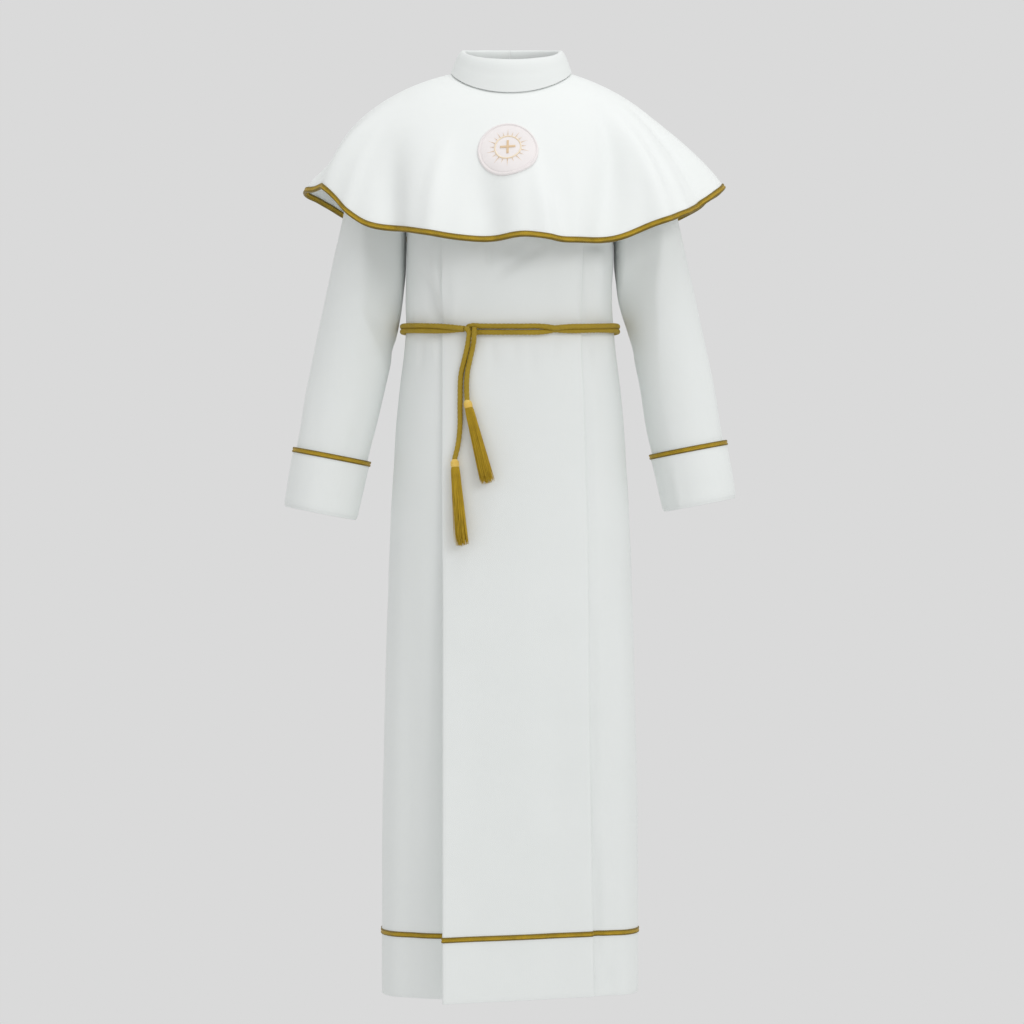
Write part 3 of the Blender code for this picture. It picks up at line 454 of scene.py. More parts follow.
SLEEVE_CREASES = {  # by degrees round from the underarm by the front, and distance down from the shoulder
    "right": [
        Crease(-6, 0, -6, 215, 0, 12.0, 2.5),
        Crease(150, 300, 134, 470, 2, 11.0, 1.2),
        Crease(60, 330, 48, 480, 0, 9.0, -1.6),
        Crease(214, 120, 262, 250, 4, 12.0, -2.8),
        Crease(240, 90, 296, 240, 4, 10.0, 2.2),
        Crease(300, 236, 372, 290, 5, 8.0, -2.8),
        Crease(280, 284, 350, 322, 4, 8.0, 1.8),
        Crease(252, 320, 236, 480, 0, 12.0, -1.6),
    ],
    "left": [
        Crease(-6, 0, -6, 200, 0, 12.0, 2.2),
        Crease(-2, 185, -2, 395, 0, 30.0, -5.8),
        Crease(160, 260, 146, 440, 0, 11.0, 0.9),
        Crease(210, 120, 258, 256, 4, 12.0, -2.6),
        Crease(236, 90, 292, 246, 4, 10.0, 2.0),
        Crease(298, 240, 368, 296, 5, 8.0, -2.6),
        Crease(276, 292, 346, 328, 4, 8.0, 1.6),
        Crease(246, 320, 232, 480, 0, 12.0, -1.6),
    ],
}
Hollow = namedtuple("Hollow", "down edge share")
SLEEVE_HOLLOWS = {  # the inner front of a sleeve lies flat beside an edge, which is so many degrees round
    "right": [
        Hollow(20, 114, 0.0),
        Hollow(80, 112, 0.75),
        Hollow(132, 107, 0.85),
        Hollow(174, 97, 0.9),
        Hollow(213, 90, 1.0),
        Hollow(233, 88, 1.0),
        Hollow(247, 79, 1.0),
        Hollow(270, 55, 1.0),
        Hollow(292, 26, 1.0),
        Hollow(302, 12, 1.0),
    ],
    "left": [
        Hollow(20, 124, 0.0),
        Hollow(80, 120, 0.9),
        Hollow(150, 113, 1.0),
        Hollow(205, 93, 0.85),
        Hollow(264, 80, 0.6),
        Hollow(325, 67, 0.3),
        Hollow(378, 62, 0.3),
        Hollow(450, 60, 0.1),
    ],
}
HOLLOW_HALF = 40.0  # degrees from the middle of the flat part to its edges, at most
HOLLOW_FROM = 4.0  # degrees where it may begin
HOLLOW_RADIUS = 41.0
HOLLOW_BEYOND = 20.0  # degrees past an edge, from where on the form is taken as round
HOLLOW_SOFT = 0.0008  # how softly the flat part meets the round form
CREASE_FADE = 0.4  # the share of a crease's length over which each of its ends fades
CUFF_CREASES = {
    "right": [Crease(60, 380, 48, 560, 0, 9.0, -1.2), Crease(110, 380, 104, 560, 0, 12.0, 0.6)],
    "left": [Crease(62, 380, 48, 560, 0, 6.0, 1.1), Crease(40, 380, 24, 560, 0, 9.0, -1.2)],
}
CAPE_DEGREE = 2.6  # millimetres of the cape's girth, at the middle of its length
CAPE_LENGTH = 190.0
CAPE_CREASES = [  # by degrees from the centre front and distance down from the neck
    Crease(-50, 92, -27, 300, 2, 17.0, -13.0),
    Crease(-60, 84, -56, 300, 0, 9.0, 4.5),
    Crease(-26, 78, -20, 300, 0, 9.0, 7.5),
    Crease(-75, 90, -73, 290, 0, 9.0, -3.5),
    Crease(-88, 60, -82, 260, -2, 11.0, 2.0),
    Crease(-13, 92, 0, 300, 2, 15.0, -10.5),
    Crease(9, 92, 12, 300, 0, 8.0, 8.5),
    Crease(55, 40, 10, 300, -4, 14.0, -13.0),
    Crease(25, 92, 12, 300, 0, 8.0, 3.0),
    Crease(57, 70, 39, 290, -2, 10.0, 8.0),
    Crease(67, 60, 46, 290, 2, 9.0, 3.0),
    Crease(73, 60, 63, 280, 2, 9.0, -4.0),
    Crease(84, 60, 78, 270, 0, 12.0, 1.4),
    Crease(110, 70, 104, 250, 2, 11.0, -3.6),
    Crease(140, 80, 138, 250, -2, 11.0, -3.8),
    Crease(170, 80, 168, 250, 2, 11.0, -3.4),
    Crease(200, 80, 204, 250, -2, 11.0, -3.8),
    Crease(230, 80, 232, 250, 2, 10.0, -3.4),
    Crease(256, 70, 258, 250, 0, 10.0, -2.6),
]
SLACK_COARSE = (48.0, 0.45)  # size of the cloth's faint unevenness, and its height
SLACK_FINE = (17.0, 0.10)


def relief(u, v, creases, u_scale=1.0, turn=0.0):
    """Height at (u, v) of soft ridges and troughs, each fading out towards both its ends.
    turn is what u grows by once round, where it goes round."""
    u, v = np.broadcast_arrays(np.asarray(u, float), np.asarray(v, float))
    total = np.zeros(u.shape)
    for c in creases:
        du, dv = u - c.u0, v - c.v0
        if turn:
            middle = (c.u1 - c.u0) / 2
            du = (du - middle + turn / 2) % turn - turn / 2 + middle
        du = du * u_scale
        reach_u, reach_v = (c.u1 - c.u0) * u_scale, c.v1 - c.v0
        length = math.hypot(reach_u, reach_v)
        t = (du * reach_u + dv * reach_v) / length**2
        off = (du * reach_v - dv * reach_u) / length - c.bow * 4 * t * (1 - t)
        fade = ease(t / CREASE_FADE) * ease((1 - t) / CREASE_FADE)
        total += c.height * np.exp(-((off / c.width) ** 2)) * fade
    return total


def sunk(angles, down, hollows):
    """How far the inner front of a sleeve lies behind its round form, where it hangs flat beside an edge."""
    levels_down = [h.down for h in hollows]
    edge = through(levels_down, [h.edge for h in hollows])(down)[:, None]
    share = through(levels_down, [h.share for h in hollows])(down)[:, None]
    half = np.clip((edge - HOLLOW_FROM) / 2, 1, HOLLOW_HALF)
    off = np.abs((angles[None, :] - edge + half + 180) % 360 - 180)
    off = np.radians(np.minimum(off, half + HOLLOW_BEYOND))
    flat = 1 - np.cos(np.radians(half)) / np.cos(off)
    return -HOLLOW_RADIUS * share * (flat + np.sqrt(flat**2 + HOLLOW_SOFT)) / 2


def slack(points):
    """The faint unevenness of cloth that hangs: a height for each point, the same wherever pieces meet."""
    heights = np.zeros(points.shape[:-1])
    flat = points.reshape(-1, 3)
    for size, height in (SLACK_COARSE, SLACK_FINE):
        values = [noise.noise(Vector(p)) for p in flat / size]
        heights += height * np.array(values).reshape(heights.shape)
    return heights


# ---------------------------------------------------------------- forms of the cloth

YOKE_ROUNDNESS = 0.55  # at the middle of the yoke; it grows to 1 between these shares of the half width
YOKE_MIDDLE = (0.15, 0.35)
ARMHOLE_POWER = 1.5
FORWARD_SHARE = 0.46  # within this share of its half width the yoke meets the front over its closed pleats
FORWARD_OVER = 0.1
LEVEL_OUT = (0.3, 0.8)  # shares of the cape's length between which its creases turn to point level
CAPE_HELD = 0.25  # the share of its length below the neck at which its creases reach their full height
ANGLE_STEP = 0.5  # degrees, and a share of the length, over which the cape's slope is taken
SHARE_STEP = 0.01

body_size = curves_of(BODY, [section.z for section in BODY])


def section_share(x, half_width):
    """How far round from the middle a point at x lies: -1 and 1 are the sides."""
    share = np.minimum(np.abs(x) / half_width, 1.0) ** (SQUARENESS / 2)
    return np.copysign(np.arcsin(share) * 2 / np.pi, x)


def skirt(side, s, z):
    """The body below the underarm: side is -1 for the front, 1 for the back, s runs from side to side."""
    s, z = np.broadcast_arrays(np.asarray(s, float), np.asarray(z, float))
    angle = np.abs(s) * np.pi / 2
    across = np.sin(angle) ** (2 / SQUARENESS)
    deep = np.maximum(np.cos(angle), 0.0) ** (2 / SQUARENESS)
    x = np.copysign(body_size["half_width"](z) * across, s)
    y = body_size["front" if side < 0 else "back"](z) * deep
    if side > 0:
        fall = ease((TROUGH_TOP_Z - z) / (TROUGH_TOP_Z - HEM_Z))
        y = y - fall * sum(f.depth * np.exp(-(((s - f.share) / f.width) ** 2)) for f in BACK_TROUGHS)
    return np.stack([x, side * y, z], axis=-1)


def seam_line(side, s):
    """The upper edge of the body: a shoulder seam, or the neckline between the two."""
    outer = np.clip((np.abs(s) - NECK_SHARE) / (1 - NECK_SHARE), 0, 1)
    angle = np.clip(np.abs(s) / NECK_SHARE, 0, 1) * np.pi / 2
    on_seam = np.abs(s) >= NECK_SHARE
    middle_y, middle_z = NECK_FRONT if side < 0 else NECK_BACK
    (neck_x, neck_z), (shoulder_x, shoulder_z) = NECK_POINT, SHOULDER_POINT
    x = np.where(on_seam, neck_x + (shoulder_x - neck_x) * outer, neck_x * np.sin(angle))
    y = np.where(on_seam, 0.0, middle_y * np.cos(angle))
    seam_z = neck_z + (shoulder_z - neck_z) * outer
    z = np.where(on_seam, seam_z, neck_z + (middle_z - neck_z) * np.cos(angle))
    return np.stack([np.copysign(x, s), y, z], axis=-1)


def yoke(side, s, t):
    """The body above the underarm, from t 0 there to 1 at the shoulder seam or neckline."""
    rise, arc = math.sin(t * math.pi / 2), math.cos(t * math.pi / 2)
    low, high = skirt(side, s, UNDERARM_Z), seam_line(side, s)
    points = low + (high - low) * rise
    start, end = YOKE_MIDDLE
    roundness = YOKE_ROUNDNESS + (1 - YOKE_ROUNDNESS) * ease((np.abs(s) - start) / (end - start))
    bulge = (1 - roundness) * (1 - rise) + roundness * arc
    near_armhole = np.maximum((np.abs(s) - NECK_SHARE) / (1 - NECK_SHARE), 0.0) ** ARMHOLE_POWER
    armhole = side * near_armhole * 2 * ARMHOLE_DEPTH * math.sqrt(max(rise * (1 - rise), 0.0))
    points[:, 1] = high[:, 1] + (low[:, 1] - high[:, 1]) * bulge + armhole
    if side < 0:
        points[:, 1] -= PLEAT_CLOSED * ease((FORWARD_SHARE - np.abs(s)) / FORWARD_OVER) * (1 - t)
    return points


SIDE_COLUMNS = 26
UNDER_COLUMNS = 6
FOLD_COLUMNS = 9
PANEL_COLUMNS = 48
PANEL_FROM = SIDE_COLUMNS + 2 * UNDER_COLUMNS + 2 * FOLD_COLUMNS - 1  # the centre panel's first column


def pleat_profile(edge, opened, turn):
    """A pleat's x and standoff, from under the centre panel's edge to that edge; turn is 1 on the right."""
    reach = opened - 2 * FOLD_RADIUS
    between = math.hypot(PLEAT_UNDER, reach)
    slant = math.atan2(reach, PLEAT_UNDER) - math.asin(min(2 * FOLD_RADIUS / between, 1.0))
    sweep = np.linspace(0, math.pi - slant, FOLD_COLUMNS)
    inner = -math.pi / 2 + sweep
    outer = -math.pi / 2 - slant - sweep
    x = [PLEAT_UNDER + FOLD_RADIUS * np.cos(inner), FOLD_RADIUS * np.cos(outer)]
    standoff = [FOLD_RADIUS * (1 + np.sin(inner)), opened - FOLD_RADIUS * (1 - np.sin(outer))]
    x.insert(1, np.linspace(x[0][-1], x[1][0], UNDER_COLUMNS + 2)[1:-1])
    standoff.insert(1, np.linspace(standoff[0][-1], standoff[1][0], UNDER_COLUMNS + 2)[1:-1])
    return edge + turn * np.concatenate(x), np.concatenate(standoff)


def front_row(z):
    """One level of the front: side panel, pleat, centre panel, pleat, side panel."""
    half_width = body_size["half_width"](z)
    right, left = body_size["right_edge"](z), body_size["left_edge"](z)
    right_open, left_open = body_size["right_open"](z), body_size["left_open"](z)

    def on_body(x, standoff):
        points = skirt(-1, section_share(x, half_width), z)
        points[..., 1] -= standoff
        return points

    def side_panel(edge, turn):
        shares = np.linspace(-turn, float(section_share(edge, half_width)), SIDE_COLUMNS)
        under = edge + turn * np.linspace(0, PLEAT_UNDER, UNDER_COLUMNS + 1)[1:]
        return np.vstack([skirt(-1, shares, z), on_body(under, 0.0)])

    right_pleat = on_body(*pleat_profile(right, right_open, 1))
    left_pleat = on_body(*pleat_profile(left, left_open, -1))
    x = np.linspace(right_pleat[-1, 0], left_pleat[-1, 0], PANEL_COLUMNS + 2)[1:-1]
    share = ((x - right_pleat[-1, 0]) / (left_pleat[-1, 0] - right_pleat[-1, 0]))[:, None]
    wrapped = on_body(x, right_open + share[:, 0] * (left_open - right_open))
    board = right_pleat[-1] + share * (left_pleat[-1] - right_pleat[-1])
    panel = wrapped + body_size["flat"](z) * (board - wrapped)
    sides = [side_panel(right, 1), side_panel(left, -1)]
    return np.vstack([sides[0][:-1], right_pleat, panel, left_pleat[::-1], sides[1][:-1][::-1]])


def outward_in_plan(points, z):
    """The way out of the body at its front, level, for points near its surface."""
    half, deep = body_size["half_width"](z), body_size["front"](z)
    x = np.sign(points[..., 0]) * (np.abs(points[..., 0]) / half) ** (SQUARENESS - 1) / half
    y = np.sign(points[..., 1]) * (np.abs(points[..., 1]) / deep) ** (SQUARENESS - 1) / deep
    return unit(np.stack([x, y, np.zeros_like(x)], axis=-1))


sleeve_size = curves_of(SLEEVE, range(len(SLEEVE)))
cuff_size = curves_of(CUFF, range(len(CUFF)))


def arm_grid(size, places, angles, side, rise, growth=0.0, armhole=False):
    """Points of a sleeve or cuff at places down its rings, by degrees from the underarm round by the front.
    growth is how far they lie outside its rings, and rise how far its foot is raised."""
    ring = {field: read(places)[:, None] for field, read in size.items()}
    lifted = rise * (SLEEVE[0].outer_z - ring["outer_z"]) / (SLEEVE[0].outer_z - CUFF[-1].outer_z)
    span = np.hypot(ring["outer_x"] - ring["inner_x"], ring["outer_z"] - ring["inner_z"])
    ahead_x, ahead_z = (ring["outer_x"] - ring["inner_x"]) / span, (ring["outer_z"] - ring["inner_z"]) / span
    reach = span / 2 + growth
    around = np.radians(angles)[None, :]
    x = (ring["outer_x"] + ring["inner_x"]) / 2 - ahead_x * reach * np.cos(around)
    z = (ring["outer_z"] + ring["inner_z"]) / 2 - ahead_z * reach * np.cos(around) + lifted
    y = ring["y"] - (ring["half_depth"] + growth) * np.sin(around)
    if armhole:
        gap = ARMHOLE_GAP[0] + (ARMHOLE_GAP[1] - ARMHOLE_GAP[0]) * (1 + np.cos(around)) / 2
        gap = gap * np.clip(1 - places, 0, 1)[:, None]
        x, z = x + ahead_z * gap, z - ahead_x * gap
    return np.stack([side * x, y, z], axis=-1)


def down_arm(size, places):
    """Distance from the shoulder, along the sleeve's outer side."""
    x, z = size["outer_x"](places), size["outer_z"](places)
    start = math.hypot(x[0] - SHOULDER_POINT[0], z[0] - SHOULDER_POINT[1])
    return np.concatenate([[0], np.cumsum(np.hypot(np.diff(x), np.diff(z)))]) + start


def neck_oval(sizes, angle, rounding=2.0):
    """Points of an oval round the neck: angle 0 is the front, 90 the wearer's left, 180 the back."""
    a = np.radians(angle)
    ahead = np.cos(a)
    depth = np.where(ahead > 0, sizes["front"], sizes["back"])
    middle_z = np.where(ahead > 0, sizes["z_front"], sizes["z_back"])
    z = sizes["z_side"] + (middle_z - sizes["z_side"]) * np.abs(ahead) ** rounding
    x = sizes["side"] * np.sin(a) + sizes["middle"] * np.sin(a) ** 2
    return np.stack([x, -depth * ahead, z], axis=-1)


def cape_form(angle, share):
    """The cape before its creases, at shares of the way from neck to hem."""
    angle, share = np.broadcast_arrays(np.asarray(angle, float), np.asarray(share, float))
    neck, bow = neck_oval(CAPE_NECK, angle, NECK_ROUND), neck_oval(CAPE_BOW, angle)
    hem = neck_oval(CAPE_HEM, angle, HEM_ROUND)
    a, v = np.radians(angle), share[..., None]
    level = np.zeros_like(a)
    outward = unit(np.stack([CAPE_HEM["front"] * np.sin(a), -CAPE_HEM["side"] * np.cos(a), level], axis=-1))
    points = (1 - v) ** 2 * neck + 2 * v * (1 - v) * bow + v**2 * hem
    for flute in CAPE_FLUTES:
        turned = (angle - flute.angle + 180) % 360 - 180
        hump = np.exp(-((turned / flute.width) ** 2)) * ease((share - flute.start) / (1 - flute.start))
        points = points + hump[..., None] * (outward * flute.out + np.array([0, 0, flute.lift]))
    return points


def cape_cloth(angle, share):
    """The middle of the cape's cloth with its creases, and the way out of it."""
    angle, share = np.broadcast_arrays(np.asarray(angle, float), np.asarray(share, float))
    points = cape_form(angle, share)
    across = cape_form(angle + ANGLE_STEP, share) - cape_form(angle - ANGLE_STEP, share)
    up = cape_form(angle, share - SHARE_STEP) - cape_form(angle, share + SHARE_STEP)
    out = unit(np.cross(across, up))
    level_out = unit(out * np.array([1, 1, 0]))
    start, end = LEVEL_OUT
    way = unit(out + (level_out - out) * ease((share[..., None] - start) / (end - start)))
    height = relief(angle, share * CAPE_LENGTH, CAPE_CREASES, CAPE_DEGREE, 360.0) + slack(points)
    height = height * ease(share / CAPE_HELD)
    return points + way * height[..., None], out


def round_the_back(columns, radius):
    """Angles from the centre back round by the wearer's right and the front, parted at the back."""
    slit = math.degrees(BACK_OPENING / radius)
    return np.linspace(-180 + slit, 180 - slit, columns)


# ---------------------------------------------------------------- cloth pieces

CUFF_LAYER = 0.8
CAPE_LAYER = 1.2
COLLAR_LAYER = 1.6
STAND = (CLOTH - LAYER) / 2  # from the middle of the solids' walls to the middle of the outer layer

ROW_STEP = 5.0
BODY_COLUMNS = 121
YOKE_ROWS = 25
SLEEVE_ROWS = 104
SLEEVE_COLUMNS = 96
CUFF_COLUMNS = 120
CUFF_PLACES = np.append(np.linspace(0.02, 1.87, 15), [1.9, 1.93, 1.953, 1.972])  # down its rings
CAPE_ROWS = 64
CAPE_COLUMNS = 361
COLLAR_COLUMNS = 181
HEM_FOLD_ROWS = 7

NECK_HELD = 60.0  # over how far down from the neck creases grow to their full height
FRONT_HELD_Z = -40.0  # where they begin to, at the front
SLEEVE_HELD = (25.0, 30.0)  # the same at a sleeve's armhole and foot
CUFF_HELD = 20.0
CUFF_DEEPEST = 0.4  # so that a cuff's creases stay clear of the sleeve in it
CUFF_TUCK = 1.2  # how far its lower edge turns in
CUFF_TUCK_LENGTH = 4.0

CAPE_BACK_RADIUS = 60.0  # from the neck's middle to the back opening
COLLAR_BACK_RADIUS = 45.0
COLLAR_STEP = 1.0
COLLAR_BOW = 0.8  # how far its fall stands out half way down
COLLAR_SLACK = (1.6, 0.6)  # how much closer and lower its unevenness is than the other cloth's
COLLAR_EDGE = 0.5
ROLL_TURN = 0.9 * math.pi
ROLL_ROWS = 5


def hemmed(points, normals, rows, stand):
    """A hem turned up inside: the inner layer from its top down, the fold, and then the outer layer.
    rows is how many rows of the cloth it covers, and stand how far each layer lies from the middle."""
    down = unit(points[0] - points[1])
    turns = np.radians(np.linspace(-90, 90, HEM_FOLD_ROWS))
    inner = (points - normals * stand)[rows:0:-1]
    fold = [points[0] + stand * (down * math.cos(a) + normals[0] * math.sin(a)) for a in turns]
    return np.concatenate([inner, fold, (points + normals * stand)[1:]])


def lay(name, points, finish, thickness=LAYER, closed=False):
    """Cloth of that thickness whose middle is the grid."""
    made = grid_object(name, points, finish, closed)
    apply_modifier(made, "SOLIDIFY", thickness=thickness * MM, offset=0.0)
    smooth_by_angle(made)
    return made


def creased(points, height, closed=False):
    """The middle of a cloth moved out by a height at each of its points, and its normals."""
    points = points + normals_of(points, closed) * height[..., None]
    return points, normals_of(points, closed)


def seam_dip(points, depth=0.45, width=2.2):
    """How far cloth draws in along the seams at both ends of its rows."""
    run = runs(points)
    return -depth * (np.exp(-((run / width) ** 2)) + np.exp(-(((run[:, -1:] - run) / width) ** 2)))


HemLift = namedtuple("HemLift", "x panel side")
HEM_LIFTS = [  # how far the hem is lifted, on the centre panel and on the side panels
    HemLift(-146, -0.5, -1.0),
    HemLift(-74, -0.5, 0.0),
    HemLift(92, 3.0, 2.5),
    HemLift(146, 3.0, 1.0),
]
LIFT_FROM_Z = -640.0


def hem_lift(points):
    """The front's hem isn't quite level: it rises towards the wearer's left."""
    xs = [h.x for h in HEM_LIFTS]
    panel = np.interp(points[..., 0], xs, [h.panel for h in HEM_LIFTS])
    side = np.interp(points[..., 0], xs, [h.side for h in HEM_LIFTS])
    column = np.arange(points.shape[1])
    panel_from = PANEL_FROM - FOLD_COLUMNS
    on_panel = (column >= panel_from) & (column < points.shape[1] - panel_from)
    fall = ease((LIFT_FROM_Z - points[..., 2]) / (LIFT_FROM_Z - HEM_Z))
    return np.where(on_panel[None, :], panel, side) * fall


def levels(low, high):
    """Even levels from low to high for the rows of a cloth."""
    return np.linspace(low, high, int(round((high - low) / ROW_STEP)) + 1)


def front_cloth():
    """The middle of the front's cloth up to the underarm, its normals and the level of each row."""
    z = levels(HEM_Z + CLOTH / 2, UNDERARM_Z - SEAM_GAP)
    points = np.stack([front_row(level) for level in z])
    points[:, [0, -1], 1] -= SEAM_GAP / 2
    height = relief(points[..., 0], points[..., 2], FRONT_CREASES) + slack(points) + seam_dip(points)
    points = points + outward_in_plan(points, points[..., 2]) * height[..., None]
    points[..., 2] += hem_lift(points)
    return points, normals_of(points), z


def back_cloth():
    """The middle of the back's cloth, its normals and the level of each row below the underarm."""
    z = levels(HEM_Z + CLOTH / 2, UNDERARM_Z)
    s = np.linspace(1, -1, BODY_COLUMNS)
    rows = [skirt(1, s, level) for level in z]
    rows += [yoke(1, s, t) for t in np.linspace(0, 1, YOKE_ROWS)[1:]]
    points = np.stack(rows)
    points[:, [0, -1], 1] += SEAM_GAP / 2
    points[-1, np.abs(s) >= NECK_SHARE, 1] += SEAM_GAP / 2
    near_neck = ease(-points[..., 2] / NECK_HELD)
    height = (relief(points[..., 0], points[..., 2], BACK_CREASES) + slack(points)) * near_neck
    height = height + seam_dip(points) * (points[..., 2] < UNDERARM_Z)
    return *creased(points, height), z


def yoke_cloth():
    """The middle of the front yoke's cloth, and its normals."""
    s = np.linspace(-1, 1, BODY_COLUMNS)
    points = np.stack([yoke(-1, s, t) for t in np.linspace(0, 1, YOKE_ROWS)])
    points[0, [0, -1], 1] -= SEAM_GAP / 2
    points[-1, np.abs(s) >= NECK_SHARE, 1] -= SEAM_GAP / 2
    near_neck = ease((FRONT_HELD_Z - points[..., 2]) / NECK_HELD)
    height = (relief(points[..., 0], points[..., 2], YOKE_CREASES) + slack(points)) * near_neck
    return creased(points, height)


def sleeve_cloth(name, side, rise):
    """The middle of a sleeve's cloth, from its cuff up and anticlockwise seen from above, and its normals."""
    places = np.linspace(0, len(SLEEVE) - 1, SLEEVE_ROWS)
    angles = np.linspace(0, 360, SLEEVE_COLUMNS, endpoint=False)
    down = down_arm(sleeve_size, places)
    points = arm_grid(sleeve_size, places, angles, side, rise, armhole=True)
    height = relief(angles[None, :], down[:, None], SLEEVE_CREASES[name], PER_DEGREE, 360.0)
    height = height + sunk(angles, down, SLEEVE_HOLLOWS[name]) + slack(points)
    at_seam = ease(down / SLEEVE_HELD[0]) * ease((down[-1] - down) / SLEEVE_HELD[1])
    height = height * at_seam[:, None]
    return creased(points[::-1, ::side], height[::-1, ::side], closed=True)


def cuff_cloth(name, side, rise):
    """The middle of a cuff's wall, from its lower edge up, and its normals."""
    angles = np.linspace(0, 360, CUFF_COLUMNS, endpoint=False)
    growth = CLOTH / 2 + CUFF_STANDOFF + CUFF_CLOTH / 2
    points = arm_grid(cuff_size, CUFF_PLACES, angles, side, rise, growth)
    down = down_arm(cuff_size, CUFF_PLACES)
    height = relief(angles[None, :], down[:, None], CUFF_CREASES[name], PER_DEGREE, 360.0) + slack(points)
    height = np.maximum(height, -CUFF_DEEPEST) * ease((down - down[0]) / CUFF_HELD)[:, None]
    height = height - CUFF_TUCK * ease(1 - (down[-1] - down) / CUFF_TUCK_LENGTH)[:, None]
    return creased(points[::-1, ::side], height[::-1, ::side], closed=True)


def collar_cloth():
    """The middle of the collar's strip, from the edge of its fall over the roll to the neck seam."""
    angles = round_the_back(COLLAR_COLUMNS, COLLAR_BACK_RADIUS)
    seam, roll = neck_oval(COLLAR_SEAM, angles, 1.0), neck_oval(COLLAR_ROLL, angles, 1.0)
    a = np.radians(angles)
    reach = COLLAR_REACH["side"] + (COLLAR_REACH["front"] - COLLAR_REACH["side"]) * np.cos(a) ** 2
    cape, out_of_cape = cape_cloth(angles, reach)
    edge = cape + COLLAR_CLEAR * out_of_cape
    up = unit(roll - seam)
    out = np.stack([np.sin(a), -np.cos(a), np.zeros_like(a)], axis=-1)
    out = unit(out - up * (out * up).sum(axis=-1, keepdims=True))
    centre = roll + out * ROLL_RADIUS
    profile = [seam, (seam + roll) / 2]
    for turn in np.linspace(math.pi, math.pi - ROLL_TURN, ROLL_ROWS):
        profile.append(centre + ROLL_RADIUS * (out * math.cos(turn) + up * math.sin(turn)))
    profile += [(profile[-1] + edge) / 2 + out * COLLAR_BOW, edge]
    columns = [evenly(line, COLLAR_STEP) for line in np.stack(profile, axis=1)]
    shares = np.linspace(0, 1, max(len(column) for column in columns))
    columns = [along(np.linspace(0, 1, len(column)), column, shares) for column in columns]
    points = np.stack(columns, axis=1)[::-1]
    closer, lower = COLLAR_SLACK
    return points + normals_of(points) * (slack(points * closer) * lower)[..., None]


def make_garment(white, cape_white_painted_lighter):
    """Every piece of cloth. Returns what the braids need: the middle, normals and row heights of the front,
    back and cuffs, and the middle of the cape."""
    cloths = {"front": front_cloth(), "back": back_cloth()}
    for name, (points, out, z) in cloths.items():
        hem_rows = int(np.searchsorted(z, HEM_BRAID_Z))
        lay(f"cloth_{name}", hemmed(points, out, hem_rows, STAND), white)
    points, out = yoke_cloth()
    lay("cloth_front_yoke", points + out * STAND, white)
    for name, side, rise, cuff_rise in SLEEVE_SIDES:
        points, out = sleeve_cloth(name, side, rise)
        lay(f"cloth_sleeve_{name}", points + out * STAND, white, closed=True)
        points, out = cuff_cloth(name, side, cuff_rise)
        cloths[f"cuff_{name}"] = (points, out, runs(np.swapaxes(points, 0, 1)).mean(axis=0))
        layers = hemmed(points, out, len(points) - 1, (CUFF_CLOTH - CUFF_LAYER) / 2)
        lay(f"cloth_cuff_{name}", layers, white, CUFF_LAYER, closed=True)
    angles, shares = round_the_back(CAPE_COLUMNS, CAPE_BACK_RADIUS), np.linspace(1, 0, CAPE_ROWS)
    cape, out = cape_cloth(angles[None, :], shares[:, None])
    # The cape's white is partly its own satin and partly painted light.
    lay("cloth_cape", cape + out * (CAPE_CLOTH - CAPE_LAYER) / 2, cape_white_painted_lighter, CAPE_LAYER)
    collar = lay("cloth_collar", collar_cloth(), white, COLLAR_LAYER)
    bevel(collar, COLLAR_EDGE, 60)
    smooth_by_angle(collar)
    return cloths, cape


# ---------------------------------------------------------------- braid and binding

BRAID_STEP = 0.6
RIB_PITCH = 2.2
RIB_HEIGHT = 0.12
RIB_SLANT = 0.55  # how far a rib runs along the braid for each millimetre across it
PAINTED_SHADE_FROM = 0.3  # where the painted shade on a braid's edges begins, in shares of half the braid's width from its middle
PAINTED_SHADE_OVER = 0.4

Stitch = namedtuple("Stitch", "up out rib")
BRAID_HALF = [  # up from its middle, and out from the cloth's face; rib is its share of the ribs' height
    Stitch(3.0, -0.05, 0.0),
    Stitch(3.05, 0.5, 0.0),
    Stitch(2.8, 0.95, 0.5),
    Stitch(2.2, 1.22, 1.0),
    Stitch(1.3, 1.28, 1.0),
    Stitch(0.5, 1.02, 0.6),
]
BRAID_OUTLINE = [stitch._replace(up=-stitch.up) for stitch in BRAID_HALF]
BRAID_OUTLINE += [Stitch(0.0, 0.5, 0.0), *reversed(BRAID_HALF)]
BINDING_OUTLINE = [  # up from the cape's edge, and out from the middle of its cloth
    Stitch(-0.1, 0.0, 0.0),
    Stitch(1.5, -0.62, 0.0),
    Stitch(5.0, -0.7, 0.0),
    Stitch(5.1, -1.2, 0.0),
    Stitch(4.7, -1.75, 0.8),
    Stitch(3.5, -2.0, 1.0),
    Stitch(2.4, -1.8, 0.6),
    Stitch(1.8, -1.35, 0.0),
    Stitch(1.2, -1.8, 0.6),
    Stitch(0.2, -2.0, 1.0),
    Stitch(-0.8, -1.7, 0.8),
    Stitch(-1.45, -1.0, 0.4),
    Stitch(-1.65, 0.0, 0.2),
    Stitch(-1.5, 1.1, 0.4),
    Stitch(-0.85, 1.95, 0.8),
    Stitch(0.2, 2.3, 1.0),
    Stitch(1.2, 2.05, 0.6),
    Stitch(1.8, 1.5, 0.0),
    Stitch(2.4, 2.05, 0.6),
    Stitch(3.5, 2.25, 1.0),
    Stitch(4.7, 1.95, 0.8),
    Stitch(5.1, 1.35, 0.0),
    Stitch(5.0, 0.85, 0.0),
    Stitch(1.5, 0.8, 0.0),
]


